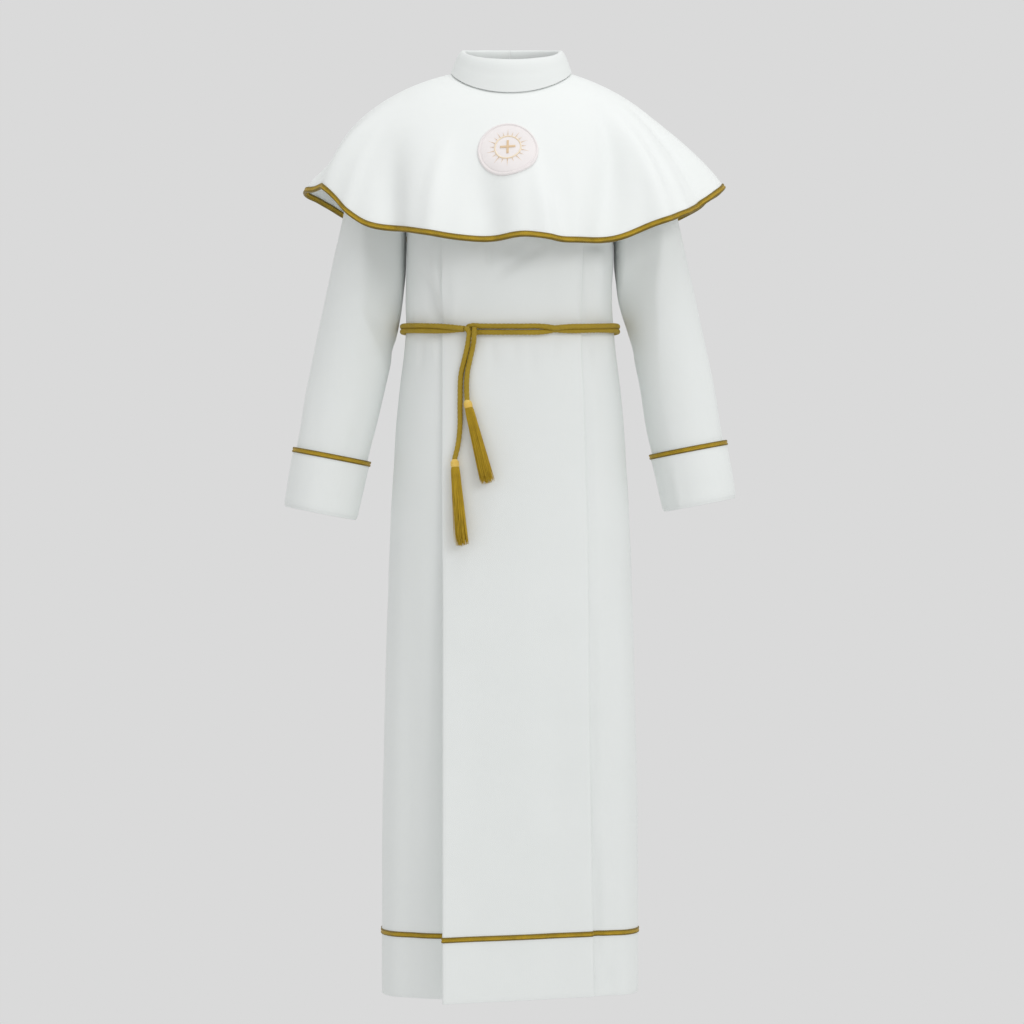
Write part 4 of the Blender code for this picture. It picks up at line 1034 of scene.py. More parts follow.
def band(name, line, up, out, outline, finish, closed=False):
    """A braid along a line, with slanting ribs and a mask of the shade painted on its edges; up and out are
    its directions at each point of the line.
    """
    if closed:
        line, up, out = (np.vstack([v, v[:1]]) for v in (line, up, out))
    run = runs(line)
    count = int(run[-1] / BRAID_STEP)
    places = np.linspace(0, run[-1], count + 1)[: count if closed else None]
    line, up, out = along(run, line, places), unit(along(run, up, places)), unit(along(run, out, places))
    pitch = run[-1] / round(run[-1] / RIB_PITCH)
    rows = []
    for stitch in outline:
        phase = (places + abs(stitch.up) * RIB_SLANT) / pitch * 2 * math.pi
        rib = (RIB_HEIGHT * stitch.rib * np.cos(phase))[:, None]
        way = math.copysign(1, stitch.out)
        rows.append(line + up * stitch.up + out * (stitch.out + way * rib))
    points = np.stack(rows)
    made = grid_object(name, points, finish, closed=closed, rolled=True, capped=not closed)
    # The edge attribute marks where the finish paints shade on the braid's edges, as on a rounded braid.
    across = np.array([stitch.up for stitch in outline])
    from_middle = np.abs(across - (across.max() + across.min()) / 2) * 2 / (across.max() - across.min())
    edge = made.data.attributes.new("edge", "FLOAT", "POINT")
    edge.data.foreach_set("value", np.repeat(ease((from_middle - PAINTED_SHADE_FROM) / PAINTED_SHADE_OVER), points.shape[1]))
    return made


def row_above(heights, at):
    """The first row above a height, and the share of the way there from the row below it."""
    k = int(np.searchsorted(heights, at))
    return k, (at - heights[k - 1]) / (heights[k] - heights[k - 1])


def between(rows, k, share):
    """What lies that share of the way from the row below row k to row k."""
    return rows[k - 1] + (rows[k] - rows[k - 1]) * share


def hem_row(cloth):
    """The line of the hem's braid on the cloth's face, its way up and its way out."""
    points, normals, heights = cloth
    k, share = row_above(heights, HEM_BRAID_Z)
    out = unit(between(normals, k, share))
    return between(points, k, share) + out * CLOTH / 2, unit(points[k] - points[k - 1]), out


def make_braids(cloths, cape, gold):
    """Braid round the hem in four runs and on both cuffs, and the binding of the cape's edge."""
    front = hem_row(cloths["front"])
    count = len(front[0])
    fold_from = SIDE_COLUMNS + 2 * UNDER_COLUMNS + FOLD_COLUMNS
    parts = {
        "right": slice(0, SIDE_COLUMNS + 1),
        "centre": slice(fold_from, count - fold_from),
        "left": slice(count - SIDE_COLUMNS - 1, count),
    }
    strips = {name: [values[part] for values in front] for name, part in parts.items()}
    strips["back"] = hem_row(cloths["back"])
    for name, strip in strips.items():
        made = band(f"braid_hem_{name}", *strip, BRAID_OUTLINE, gold)
        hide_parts(f"hem_braid_{name}")
    for name, *_ in SLEEVE_SIDES:
        points, out, heights = cloths[f"cuff_{name}"]
        k, share = row_above(heights, heights[-1] + CUFF_BRAID_ABOVE - BRAID_HEIGHT / 2)
        line = between(points, k, share) + out[k] * CUFF_CLOTH / 2
        up = unit(points[k] - points[k - 1])
        made = band(f"braid_cuff_{name}", line, up, out[k], BRAID_OUTLINE, gold, closed=True)
        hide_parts(f"cuff_braid_{name}")
    up = unit(cape[2] - cape[0])
    out = unit(np.cross(unit(np.gradient(cape[0], axis=0)), up))
    made = band("binding_cape", cape[0], up, out, BINDING_OUTLINE, gold)
    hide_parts("cape_edging")


# ---------------------------------------------------------------- cincture

ROPE_STEP = 1.2
ROPE_ROUND = 24
ROPE_PITCH = 15.0
ROPE_REACH = 3.0
STRANDS = 3
GROOVE_DEPTH = 0.42
GROOVE_POWER = 1.5  # the higher, the rounder the strands and the narrower the grooves
START_ACROSS = (0.31, 0.52, 0.79)  # a direction that no rope or thread starts along
THREAD_RADIUS = 0.42
THREAD_ROUND = 3.0  # how far round a thread its pattern goes
THREAD_SHIFT = 1.7  # from one thread's pattern to the next one's
WAIST_X = (100, -102)  # where the pair leaves the front on the wearer's left, and comes back on their right
WAIST_COLUMNS = 30
UNTWISTED = (85, 34)  # degrees round the belt where the pair lies untwisted, and over how many it turns
LOOP_X = (32, 16, 0, -16, -32, BIGHT_X)


def belt_points(angle, standoff=0.0, height=0.0):
    """Points of the doubled rope's middle: angle 0 is the front, 90 the wearer's left."""
    a = math.radians(angle)
    across, ahead = math.sin(a), math.cos(a)
    reach = 2 / SQUARENESS
    deep = BELT["front" if ahead > 0 else "back"] + standoff
    x = math.copysign(abs(across) ** reach, across) * (BELT["side"] + standoff)
    y = -math.copysign(abs(ahead) ** reach, ahead) * deep
    z = BELT_Z - BELT_DIP * max(ahead, 0.0) ** 2 + height
    return np.array([x, y, z])


def belt_angle(x, standoff=0.0):
    """The angle at which the front of the belt has this x."""
    share = abs(x) / (BELT["side"] + standoff)
    return math.copysign(math.degrees(math.asin(share ** (SQUARENESS / 2))), x)


def on_belt(stations):
    """Points at stations of (x, height, standoff) along the front of the belt."""
    return [belt_points(belt_angle(x, standoff), standoff, height) for x, height, standoff in stations]


def twisted(strand, twist):
    """Height and standoff of one strand of the pair, the upper one coming forward as the pair twists."""
    turn = math.radians(twist)
    return strand * PAIR * math.cos(turn), (1 + strand) * PAIR * math.sin(turn)


def round_waist(strand):
    """One strand beside and behind the wearer, from the front on their left to the front on their right."""
    start, end = WAIST_X
    free_at, over = UNTWISTED
    route = []
    for angle in np.linspace(belt_angle(start), 360 + belt_angle(end), WAIST_COLUMNS):
        height, standoff = twisted(strand, SIDE_TWIST * float(ease((free_at - angle) / over)))
        route.append(belt_points(angle, standoff, height))
    return route


def once_round(strand):
    """One strand from the knot round behind the wearer to the loop's open end."""
    knot = on_belt([(x, *twisted(strand, twist)) for x, twist in KNOT_TWISTS])
    loop = on_belt([(x, *twisted(strand, twist)) for x, twist in LOOP_TWISTS[::-1]])
    return knot + round_waist(strand)[::-1] + loop


def over_panel(stations):
    """Points in front of the centre panel at stations of (x, z, standoff)."""
    route = []
    for x, z, standoff in stations:
        row = front_row(z)
        panel = row[PANEL_FROM : len(row) - PANEL_FROM]
        y = np.interp(x, panel[:, 0], panel[:, 1]) - CLOTH / 2 - ROPE_REST - ROPE / 2 - standoff
        route.append(np.array([x, y, z]))
    return route


def bight(sides=5):
    """The closed end of the loop, round from its upper strand to its lower one."""
    stations = []
    for k in range(1, sides):
        angle = math.pi / 2 + math.pi * k / sides
        stations.append((BIGHT_X + LOOP_PAIR * math.cos(angle), LOOP_PAIR * math.sin(angle), 0.0))
    return stations


def waist_route():
    """The rope from the end over the loop, twice round the waist by way of the loop, to the end behind it."""
    loop = [(x, LOOP_PAIR, 0) for x in LOOP_X] + bight() + [(x, -LOOP_PAIR, 0) for x in LOOP_X[::-1]]
    return once_round(1) + on_belt(loop) + once_round(-1)[::-1]


def turn_down(start_x, height, standoff, radius=5.0):
    """The first points of the end that passes over the loop: it turns from sideways to downward."""
    stations = []
    for angle in np.linspace(0, math.pi / 2, 4):
        fall = radius * (1 - math.cos(angle))
        stations.append((start_x + radius * math.sin(angle), height - fall, standoff))
    return stations


LONG_START = turn_down(-50.8, 0.5, 6.0) + [(-46.4, -10.0, 5.6)]  # x, height and standoff, on the belt
SHORT_START = [(-40.0, 0.4, 3.4), (-40.1, -1.6, 6.6), (-40.2, -6.0, 8.4), (-40.6, -12.0, 6.4)]
LONG_ROUTE = on_belt(LONG_START) + over_panel(LONG_END)
SHORT_ROUTE = on_belt(SHORT_START) + over_panel(SHORT_END)


def carried(line):
    """Two directions across a line at each of its points, carried along it without twisting."""
    heading = unit(np.gradient(line, axis=0))
    side = unit(np.cross(heading[0], START_ACROSS))
    sides = []
    for ahead in heading:
        side = side - ahead * side.dot(ahead)
        side = side / np.linalg.norm(side)
        sides.append(side)
    sides = np.array(sides)
    return sides, np.cross(heading, sides)


def ringed(line, reach, angles):
    """Points round a line, at angles round it and as far from it as reach says there."""
    side, ahead = carried(line)
    out = side * np.cos(angles)[..., None] + ahead * np.sin(angles)[..., None]
    return line[None] + reach[..., None] * out


def strand_outline(angle):
    """How far the strands laid together reach from the rope's middle at an angle."""
    return ROPE_REACH - GROOVE_DEPTH * (1 - np.abs(np.cos(STRANDS / 2 * angle))) ** GROOVE_POWER


def laid_rope(name, route, finish):
    """Twisted rope through the points of a route, and its centreline."""
    line = evenly(route, ROPE_STEP)
    run = runs(line)[None, :]
    angles = -np.linspace(0, 2 * np.pi, ROPE_ROUND, endpoint=False)[:, None]
    points = ringed(line, strand_outline(angles), angles + 2 * np.pi * run / ROPE_PITCH)
    around = -np.linspace(0, 2 * np.pi, ROPE_ROUND + 1)[:, None] * ROPE / 2
    uv = np.broadcast_arrays(around, run)
    return grid_object(name, points, finish, rolled=True, capped=True, thread_uv=uv), line


def tube_points(line, radius, sides):
    """Rings of a plain round thread along a line, each as thick as radius says there."""
    angles = -np.linspace(0, 2 * np.pi, sides, endpoint=False)[:, None]
    return ringed(line, np.broadcast_to(radius, len(line))[None, :], angles)


def joined(name, grids, finish):
    """One mesh of many small closed grids of the same size, which are threads."""
    rows, columns = grids[0].shape[:2]
    r, c = np.meshgrid(np.arange(rows), np.arange(columns - 1), indexing="ij")
    n = (r + 1) % rows
    corners = [r * columns + c, r * columns + c + 1, n * columns + c + 1, n * columns + c]
    faces = np.stack(corners, axis=-1).reshape(-1, 4)
    ends = [np.arange(rows) * columns, np.arange(rows)[::-1] * columns + columns - 1]
    across = np.linspace(0, THREAD_ROUND, rows, endpoint=False)[:, None]
    polygons, uv = [], []
    for k, grid in enumerate(grids):
        start = k * rows * columns
        polygons += (faces + start).tolist() + [(end + start).tolist() for end in ends]
        place = np.broadcast_arrays(across + THREAD_SHIFT * k, runs(grid.mean(axis=0))[None, :])
        uv.append(np.stack(place, axis=-1).reshape(-1, 2))
    return shell(name, np.stack(grids), polygons, np.concatenate(uv)[np.concatenate(polygons)], finish)


TASSEL_STRANDS = 190
TASSEL_RINGS = 13
GOLDEN_ANGLE = math.radians(137.508)
STRAND_END = (1.01, 0.075, 0.02)  # shares of the reach: the longest, and what chance and place take off it
STRAND_TAPER = ([0.0, 0.85, 1.0], [1.0, 1.0, 0.35])  # shares of its run, and of its radius there
STRAY = 0.085  # how much wider or narrower than its place a strand may end
TURN_STRAY = 0.05  # radians round the axis, in the same way
WANDER = 0.5  # how far sideways a strand waves at its end
WANDER_PHASE = (5, 4)  # radians that the wave runs through, at least and by chance
HEAD_LENGTH = 8.0
HEAD_ROUND = 32
ROOTS = 4.0  # how far the strands reach up into the head
TOP_CLEAR = 3.6  # from the cord's end to the head, where the two stand square to each other
WRAP_TURNS = 9.0
WRAP_STEPS = 26  # in each turn
WRAP_RADIUS = 0.46
WRAP_SPAN = (0.6, 7.0)  # down from the head's top
WRAP_BARREL = (3.8, 0.7)  # how far out the wrap lies at its ends, and how much farther in the middle

Flare = namedtuple("Flare", "share radius")
TASSEL_FLARE = [
    Flare(0.0, 3.9),
    Flare(0.04, 4.7),
    Flare(0.25, 5.7),
    Flare(0.6, 6.8),
    Flare(0.9, 7.7),
    Flare(1.0, 8.1),
]
Turned = namedtuple("Turned", "radius drop")
HEAD_FORM = [  # drop is down from its top
    Turned(0.2, -2.4),
    Turned(2.4, -2.4),
    Turned(3.2, -1.0),
    Turned(3.9, 0.3),
    Turned(4.3, 2.0),
    Turned(4.4, 4.0),
    Turned(4.3, 6.0),
    Turned(3.8, 7.2),
    Turned(0.3, 7.4),
]
Axis = namedtuple("Axis", "top down across ahead length")


def tassel_axis(cord, foot):
    """A tassel's axis, from its cord's end to its foot, and two directions across it."""
    (foot,) = over_panel([foot])
    heading = unit(cord[-1] - cord[-2])
    down = unit(foot - cord[-1])
    lean = math.sqrt(max(1 - float(heading.dot(down)) ** 2, 0.0))
    top = cord[-1] + down * (SEAM_GAP + TOP_CLEAR * lean)
    across = unit(np.cross(down, [0, 1, 0]))
    return Axis(top, down, across, np.cross(across, down), np.linalg.norm(foot - top))


def off_axis(axis, drop, radius, angle):
    """Points that far down a tassel's axis, that far from it and at that angle round it."""
    drop, radius, angle = np.broadcast_arrays(drop, radius, angle)
    out = np.cos(angle)[:, None] * axis.across + np.sin(angle)[:, None] * axis.ahead
    return axis.top + axis.down * drop[:, None] + radius[:, None] * out


def tassel_threads(axis, seed):
    """The strands, which hang from the head, spread a little and end unevenly."""
    chance = np.random.default_rng(seed)
    spread = through([f.share for f in TASSEL_FLARE], [f.radius for f in TASSEL_FLARE])
    share = np.linspace(0, 1, TASSEL_RINGS)
    radius = THREAD_RADIUS * np.interp(share, *STRAND_TAPER)
    start = HEAD_LENGTH - ROOTS
    reach = axis.length - start
    longest, uneven, outside = STRAND_END
    least, by_chance = WANDER_PHASE
    threads = []
    for k in range(TASSEL_STRANDS):
        place = math.sqrt((k + 0.5) / TASSEL_STRANDS)
        run = share * reach * (longest - uneven * chance.random() ** 1.6 - outside * place)
        flare = (spread(run / reach) - THREAD_RADIUS) * place
        flare = flare * (1 + STRAY * chance.normal() * share)
        phase = share * (least + by_chance * chance.random()) + chance.random() * 6.3
        wander = WANDER * share * np.sin(phase) / np.maximum(flare, 1.5)
        angle = k * GOLDEN_ANGLE + TURN_STRAY * chance.normal() * share + wander
        threads.append(tube_points(off_axis(axis, start + run, flare, angle), radius, 5))
    return threads


def tassel_head(name, axis, finish):
    """A head wound with bright thread."""
    angle = -np.linspace(0, 2 * np.pi, HEAD_ROUND, endpoint=False)
    rings = [off_axis(axis, form.drop, form.radius, angle) for form in HEAD_FORM]
    core = grid_object(name, np.stack(rings, axis=1), finish, rolled=True, capped=True)
    share = np.linspace(0, 1, int(WRAP_TURNS * WRAP_STEPS))
    (start, end), (narrow, more) = WRAP_SPAN, WRAP_BARREL
    barrel = narrow + more * np.sin(np.pi * np.clip(share, 0.02, 0.98)) ** 0.4
    thread = off_axis(axis, start + share * (end - start), barrel, share * WRAP_TURNS * 2 * np.pi)
    wound = joined(f"{name}_wrap", [tube_points(thread, WRAP_RADIUS, 8)], finish)
    return merged(name, [core, wound])


def make_cincture(rope, yarn, wrap):
    """The doubled rope, its two hanging ends and their tassels."""
    waist, _ = laid_rope("rope_waist", waist_route(), rope)
    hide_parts("cincture_waist")
    ends = [("long", LONG_ROUTE, LONG_TASSEL_FOOT, 3), ("short", SHORT_ROUTE, SHORT_TASSEL_FOOT, 8)]
    for name, route, foot, seed in ends:
        cord, line = laid_rope(f"rope_{name}", route, rope)
        axis = tassel_axis(np.array(route), foot)
        strands = joined(f"tassel_{name}_strands", tassel_threads(axis, seed), yarn)
        head = tassel_head(f"tassel_{name}_head", axis, wrap)
        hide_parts(f"cord_end_{name}")
        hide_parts(f"tassel_{name}")
        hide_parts(f"tassel_{name}")


# ---------------------------------------------------------------- appliqué

PATCH_FORM = [  # radius, and height above its base
    (0.0, 1.75),
    (8.0, 1.75),
    (14.0, 1.7),
    (16.0, 1.5),
    (17.2, 1.8),
    (22.0, 2.2),
    (27.0, 2.15),
    (30.2, 1.7),
    (30.9, 1.25),
    (31.4, 1.9),
    (32.2, 2.5),
    (33.1, 2.4),
    (33.8, 1.6),
    (34.0, 0.7),
    (33.9, 0.0),
]
PATCH_COARSE_TO = 6  # the point of its form up to which its rows lie farther apart
PATCH_ROWS = (14, 26)  # before that point, and after it
PATCH_ROUND = 720
PATCH_BASE = CAPE_CLOTH / 2 + 0.1  # out from the middle of the cape's cloth
RIM_FROM = 30.6
RIM_THREADS = 180
RIM_THREAD_HEIGHT = 0.12
RIM_THREAD_SLANT = 0.8
RING_THREAD = 0.8
RING_LIFT = 1.9  # above the patch's base, as the next two are
RAY_LIFT = 2.15
CROSS_LIFT = 1.65
ARM_LIFT = 0.06  # for each radian that an arm is turned, so that one lies over the other
RAY_GAP = 1.2
RAY_RADII = (0.34, 0.1)
CROSS_EDGE = 0.35


def on_patch(across, up, lift):
    """Points of the appliqué, from its middle, lifted off the middle of the cape's cloth."""
    sides = cape_form(PATCH_ANGLE + np.array([-1, 1]) * ANGLE_STEP, PATCH_SHARE)
    ends = cape_form(PATCH_ANGLE, PATCH_SHARE + np.array([-1, 1]) * SHARE_STEP)
    angle = PATCH_ANGLE + across * 2 * ANGLE_STEP / np.linalg.norm(sides[1] - sides[0])
    share = PATCH_SHARE - up * 2 * SHARE_STEP / np.linalg.norm(ends[1] - ends[0])
    points, out = cape_cloth(angle, share)
    return points + np.asarray(lift)[..., None] * out


def wrap_on_cape(obj):
    """Moves a piece modelled flat round the origin, in metres and facing up, to its place on the cape."""
    flat = np.zeros(len(obj.data.vertices) * 3)
    obj.data.vertices.foreach_get("co", flat)
    flat = flat.reshape(-1, 3) / MM
    placed = on_patch(flat[:, 0], flat[:, 1], flat[:, 2])
    obj.data.vertices.foreach_set("co", (placed * MM).ravel())
    obj.data.update()


def make_patch(cream):
    """The padded round, with a raised middle and a rim sewn over with close thread."""
    radius, height = np.array(PATCH_FORM).T
    run = runs(np.array(PATCH_FORM))
    coarse, fine = PATCH_ROWS
    bend = run[PATCH_COARSE_TO]
    places = np.concatenate([np.linspace(0, bend, coarse)[1:], np.linspace(bend, run[-1], fine)[1:]])
    radius, height = through(run, radius)(places)[:, None], through(run, height)(places)[:, None]
    a = np.linspace(0, 2 * np.pi, PATCH_ROUND, endpoint=False)
    on_rim = ease((radius - RIM_FROM) / 0.5)
    thread = RIM_THREAD_HEIGHT * np.cos(a * RIM_THREADS + radius * RIM_THREAD_SLANT) * on_rim
    points = on_patch(radius * np.sin(a), radius * np.cos(a), PATCH_BASE + height + thread)
    patch = grid_object("applique_patch", points[::-1], cream, closed=True, capped=True)
    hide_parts("applique")


def sun_ring():
    """A ring of raised thread round the patch's middle."""
    select_none()
    bpy.ops.mesh.primitive_torus_add(
        major_radius=SUN_RADIUS * MM, minor_radius=RING_THREAD * MM, major_segments=120, minor_segments=12
    )
    ring = bpy.context.object
    ring.name = "sun_ring"
    return placed(ring, (0, 0, PATCH_BASE + RING_LIFT))


def sun_rays():
    """Fine rays of thread round the ring, long and short by turns, each thinner at its outer end."""
    thick, thin = RAY_RADII
    rays = []
    for k in range(RAY_COUNT):
        reach = RAY_LONG if k % 2 == 0 else RAY_SHORT
        turn = 2 * math.pi * k / RAY_COUNT
        select_none()
        bpy.ops.mesh.primitive_cone_add(vertices=10, radius1=thick * MM, radius2=thin * MM, depth=reach * MM)
        ray = edited(bpy.context.object, bpy.ops.mesh.bisect, plane_co=(0, 0, 0), plane_no=(0, 0, 1))
        middle = SUN_RADIUS + RAY_GAP + reach / 2
        place = (middle * math.sin(turn), middle * math.cos(turn), PATCH_BASE + RAY_LIFT)
        rays.append(placed(ray, place, (-math.pi / 2, 0, -turn)))
    return merged("sun_rays", rays)


def plain_cross():
    """Two bars of raised thread with soft edges, one over the other."""
    arms = []
    for turn in (0.0, math.pi / 2):
        select_none()
        bpy.ops.mesh.primitive_cube_add(size=1)
        arm = bpy.context.object
        arm.scale = (CROSS_WIDTH * MM, 2 * CROSS_ARM * MM, RAISED * MM)
        bpy.ops.object.transform_apply()
        edited(arm, bpy.ops.mesh.subdivide, number_cuts=5)
        bevel(arm, CROSS_EDGE, 50)
        lift = PATCH_BASE + CROSS_LIFT + RAISED / 2 + ARM_LIFT * turn
        arms.append(placed(arm, (0, 0, lift), (0, 0, turn)))
    return merged("cross", arms)


def make_sun(glow, thread_gold):
    """A ring with fine rays round it, and a plain cross, all in raised thread."""
    pieces = [
        (sun_ring(), glow, "applique_sun"),
        (sun_rays(), thread_gold, "applique_sun"),
        (plain_cross(), thread_gold, "applique_cross"),
    ]
    for piece, finish, node in pieces:
        piece.data.materials.append(finish)
        wrap_on_cape(piece)
        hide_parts(node)
        smooth_by_angle(piece)


# ---------------------------------------------------------------- finishes

SLUBS = ((60.0, 900.0, 1.0), (900.0, 60.0, 1.0))  # thick places per metre, along the two ways of the weave
STRAY_SCALE = 700.0
THREAD_DEPTH = 0.00012
SHEEN_ROUGHNESS = 0.4
TONE_STOPS = (0.25, 0.75)  # tones at which a surface has its low and its high colour
PAINTED_MIDDLE_HIGHLIGHT = 0.17  # shares of the colour range: a painted highlight along a braid's middle, and painted shade on its edges
PAINTED_EDGE_SHADE = 0.6


def value_group(name, inputs, outputs):
    """An empty group of nodes with those sockets, and its two ends; every group reads a place."""
    group = bpy.data.node_groups.new(name, "ShaderNodeTree")
    group.interface.new_socket("Place", in_out="INPUT", socket_type="NodeSocketVector")
    for label, start in inputs.items():
        socket = group.interface.new_socket(label, in_out="INPUT", socket_type="NodeSocketFloat")
        socket.default_value = start
    for label in outputs:
        group.interface.new_socket(label, in_out="OUTPUT", socket_type="NodeSocketFloat")
    return group, group.nodes.new("NodeGroupInput").outputs, group.nodes.new("NodeGroupOutput").inputs


def maths(tree, operation, *values):
    """A Math node; each value is a number or a socket."""
    made = tree.nodes.new("ShaderNodeMath")
    made.operation = operation
    for socket, value in zip(made.inputs, values):
        if isinstance(value, (int, float)):
            socket.default_value = value
        else:
            tree.links.new(value, socket)
    return made.outputs[0]


def weighed(tree, first, second, share):
    """That share of the first value and the rest of the second."""
    first, second = maths(tree, "MULTIPLY", first, share), maths(tree, "MULTIPLY", second, 1 - share)
    return maths(tree, "ADD", first, second)


def wave(tree, value, pitch_socket):
    """Rises and falls between -1 and 1 once a pitch, which is in metres."""
    turns = maths(tree, "DIVIDE", value, pitch_socket)
    return maths(tree, "SINE", maths(tree, "MULTIPLY", turns, 2 * math.pi))


def noise_at(tree, place, scale, detail):
    """A noise node that reads a place, and its value."""
    made = tree.nodes.new("ShaderNodeTexNoise")
    made.inputs["Scale"].default_value = scale
    made.inputs["Detail"].default_value = detail
    tree.links.new(place, made.inputs["Vector"])
    return made, made.outputs["Fac"]


def split_up(tree, place):
    """The X, Y and Z of a place."""
    made = tree.nodes.new("ShaderNodeSeparateXYZ")
    tree.links.new(place, made.inputs[0])
    return made.outputs


def weave_group():
    """Plain weave: warp and weft go over and under each other, with uneven threads."""
    tree, given, out = value_group("plain weave", {"Pitch": 0.0006, "Uneven": 0.25}, ["Height", "Thread"])
    x, y, _ = split_up(tree, given["Place"])
    lattice = maths(tree, "MULTIPLY", wave(tree, x, given["Pitch"]), wave(tree, y, given["Pitch"]))
    slubs = []
    for stretch in SLUBS:
        mapping = tree.nodes.new("ShaderNodeMapping")
        mapping.inputs["Scale"].default_value = stretch
        tree.links.new(given["Place"], mapping.inputs["Vector"])
        _, slub = noise_at(tree, mapping.outputs[0], scale=1.0, detail=2.0)
        slubs.append(maths(tree, "SUBTRACT", slub, 0.5))
    uneven = maths(tree, "MULTIPLY", maths(tree, "ADD", *slubs), given["Uneven"])
    half = maths(tree, "MULTIPLY", lattice, 0.5)
    height = maths(tree, "ADD", maths(tree, "ADD", half, 0.5), maths(tree, "MULTIPLY", uneven, 2.0))
    tree.links.new(height, out["Height"])
    tree.links.new(maths(tree, "ADD", uneven, 0.5), out["Thread"])
    return tree


def filament_group():
    """Fine parallel filaments of gold or silk thread, that run at a slant to the piece."""
    tree, given, out = value_group("filaments", {"Pitch": 0.0003, "Slant": 0.0, "Fray": 0.3}, ["Height"])
    x, y, _ = split_up(tree, given["Place"])
    across = maths(tree, "ADD", x, maths(tree, "MULTIPLY", y, given["Slant"]))
    _, stray = noise_at(tree, given["Place"], STRAY_SCALE, detail=2.0)
    stray = maths(tree, "SUBTRACT", stray, 0.5)
    frayed = maths(tree, "MULTIPLY", stray, given["Fray"])
    shift = maths(tree, "MULTIPLY", frayed, given["Pitch"])
    ridges = wave(tree, maths(tree, "ADD", across, shift), given["Pitch"])
    tree.links.new(maths(tree, "ADD", maths(tree, "MULTIPLY", ridges, 0.5), 0.5), out["Height"])
    return tree


def mottle_group():
    """Broad, faint unevenness of tone, as handling and pressing leave."""
    tree, given, out = value_group("mottle", {"Size": 0.06}, ["Tone"])
    spots, tone = noise_at(tree, given["Place"], scale=1.0, detail=3.0)
    tree.links.new(maths(tree, "DIVIDE", 1.0, given["Size"]), spots.inputs["Scale"])
    tree.links.new(tone, out["Tone"])
    return tree


WEAVE, FILAMENTS, MOTTLE = weave_group(), filament_group(), mottle_group()


def new_finish(name, roughness, metallic=0.0, sheen=0.0, sheen_tint=(1, 1, 1), specular=0.5):
    """A material and its shader, with the values that are the same all over."""
    made = bpy.data.materials.new(name)
    made.use_nodes = True
    tree = made.node_tree
    shader = tree.nodes["Principled BSDF"]
    shader.inputs["Roughness"].default_value = roughness
    shader.inputs["Metallic"].default_value = metallic
    shader.inputs["Sheen Weight"].default_value = sheen
    shader.inputs["Sheen Roughness"].default_value = SHEEN_ROUGHNESS
    shader.inputs["Sheen Tint"].default_value = (*sheen_tint, 1)
    shader.inputs["Specular IOR Level"].default_value = specular
    return made, tree, shader


def grouped(tree, group, place, **values):
    """A group at work in a material, with its own values there."""
    made = tree.nodes.new("ShaderNodeGroup")
    made.node_tree = group
    tree.links.new(place, made.inputs["Place"])
    for name, value in values.items():
        made.inputs[name.capitalize()].default_value = value
    return made.outputs


def blended(tree, shader, tone, low, high):
    """Colours the surface between two colours, by a tone over it."""
    ramp = tree.nodes.new("ShaderNodeValToRGB")
    for stop, place, colour in zip(ramp.color_ramp.elements, TONE_STOPS, (low, high)):
        stop.position = place
        stop.color = (*colour, 1)
    tree.links.new(tone, ramp.inputs["Fac"])
    tree.links.new(ramp.outputs["Color"], shader.inputs["Base Color"])


def bumped(tree, shader, height, distance, strength):
    """Raises the surface by a height; distance is in metres."""
    bump = tree.nodes.new("ShaderNodeBump")
    bump.inputs["Distance"].default_value = distance
    bump.inputs["Strength"].default_value = strength
    tree.links.new(height, bump.inputs["Height"])
    tree.links.new(bump.outputs["Normal"], shader.inputs["Normal"])


def place_nodes(tree):
    """The piece's own UV map, and its place in the object."""
    uv = tree.nodes.new("ShaderNodeUVMap")
    uv.uv_map = "cloth"
    return uv.outputs["UV"], tree.nodes.new("ShaderNodeTexCoord").outputs["Object"]


def cloth_finish(name, low, high, pitch, roughness, sheen):
    """Woven cloth, between two colours."""
    made, tree, shader = new_finish(name, roughness, sheen=sheen, specular=0.3)
    on_cloth, in_object = place_nodes(tree)
    weave = grouped(tree, WEAVE, on_cloth, pitch=pitch, uneven=0.25)
    mottle = grouped(tree, MOTTLE, in_object, size=0.07)
    blended(tree, shader, weighed(tree, mottle["Tone"], weave["Thread"], share=0.4), low, high)
    bumped(tree, shader, weave["Height"], THREAD_DEPTH, strength=0.5)
    return made


def thread_finish(name, low, high, pitch, slant, roughness, metallic=0.0, sheen=0.2, paints_shade_and_highlight=False):
    """Gold or silk thread, between two colours; a braid may also have shade painted on its edges and a
    highlight painted along its middle.
    """
    made, tree, shader = new_finish(name, roughness, metallic, sheen, sheen_tint=high)
    on_cloth, in_object = place_nodes(tree)
    filaments = grouped(tree, FILAMENTS, on_cloth, pitch=pitch, slant=slant, fray=0.5)
    mottle = grouped(tree, MOTTLE, in_object, size=0.012)
    tone = weighed(tree, filaments["Height"], mottle["Tone"], share=0.45)
    if paints_shade_and_highlight:
        # Painted shade on the braid's edges and a painted highlight along its middle, where a rounded braid
        # would lose and catch the light.
        edge = tree.nodes.new("ShaderNodeAttribute")
        edge.attribute_name = "edge"
        rim = maths(tree, "MULTIPLY", edge.outputs["Fac"], PAINTED_EDGE_SHADE)
        tone = maths(tree, "SUBTRACT", maths(tree, "ADD", tone, PAINTED_MIDDLE_HIGHLIGHT), rim)
    blended(tree, shader, tone, low, high)
    bumped(tree, shader, filaments["Height"], THREAD_DEPTH, strength=0.6)
    return made


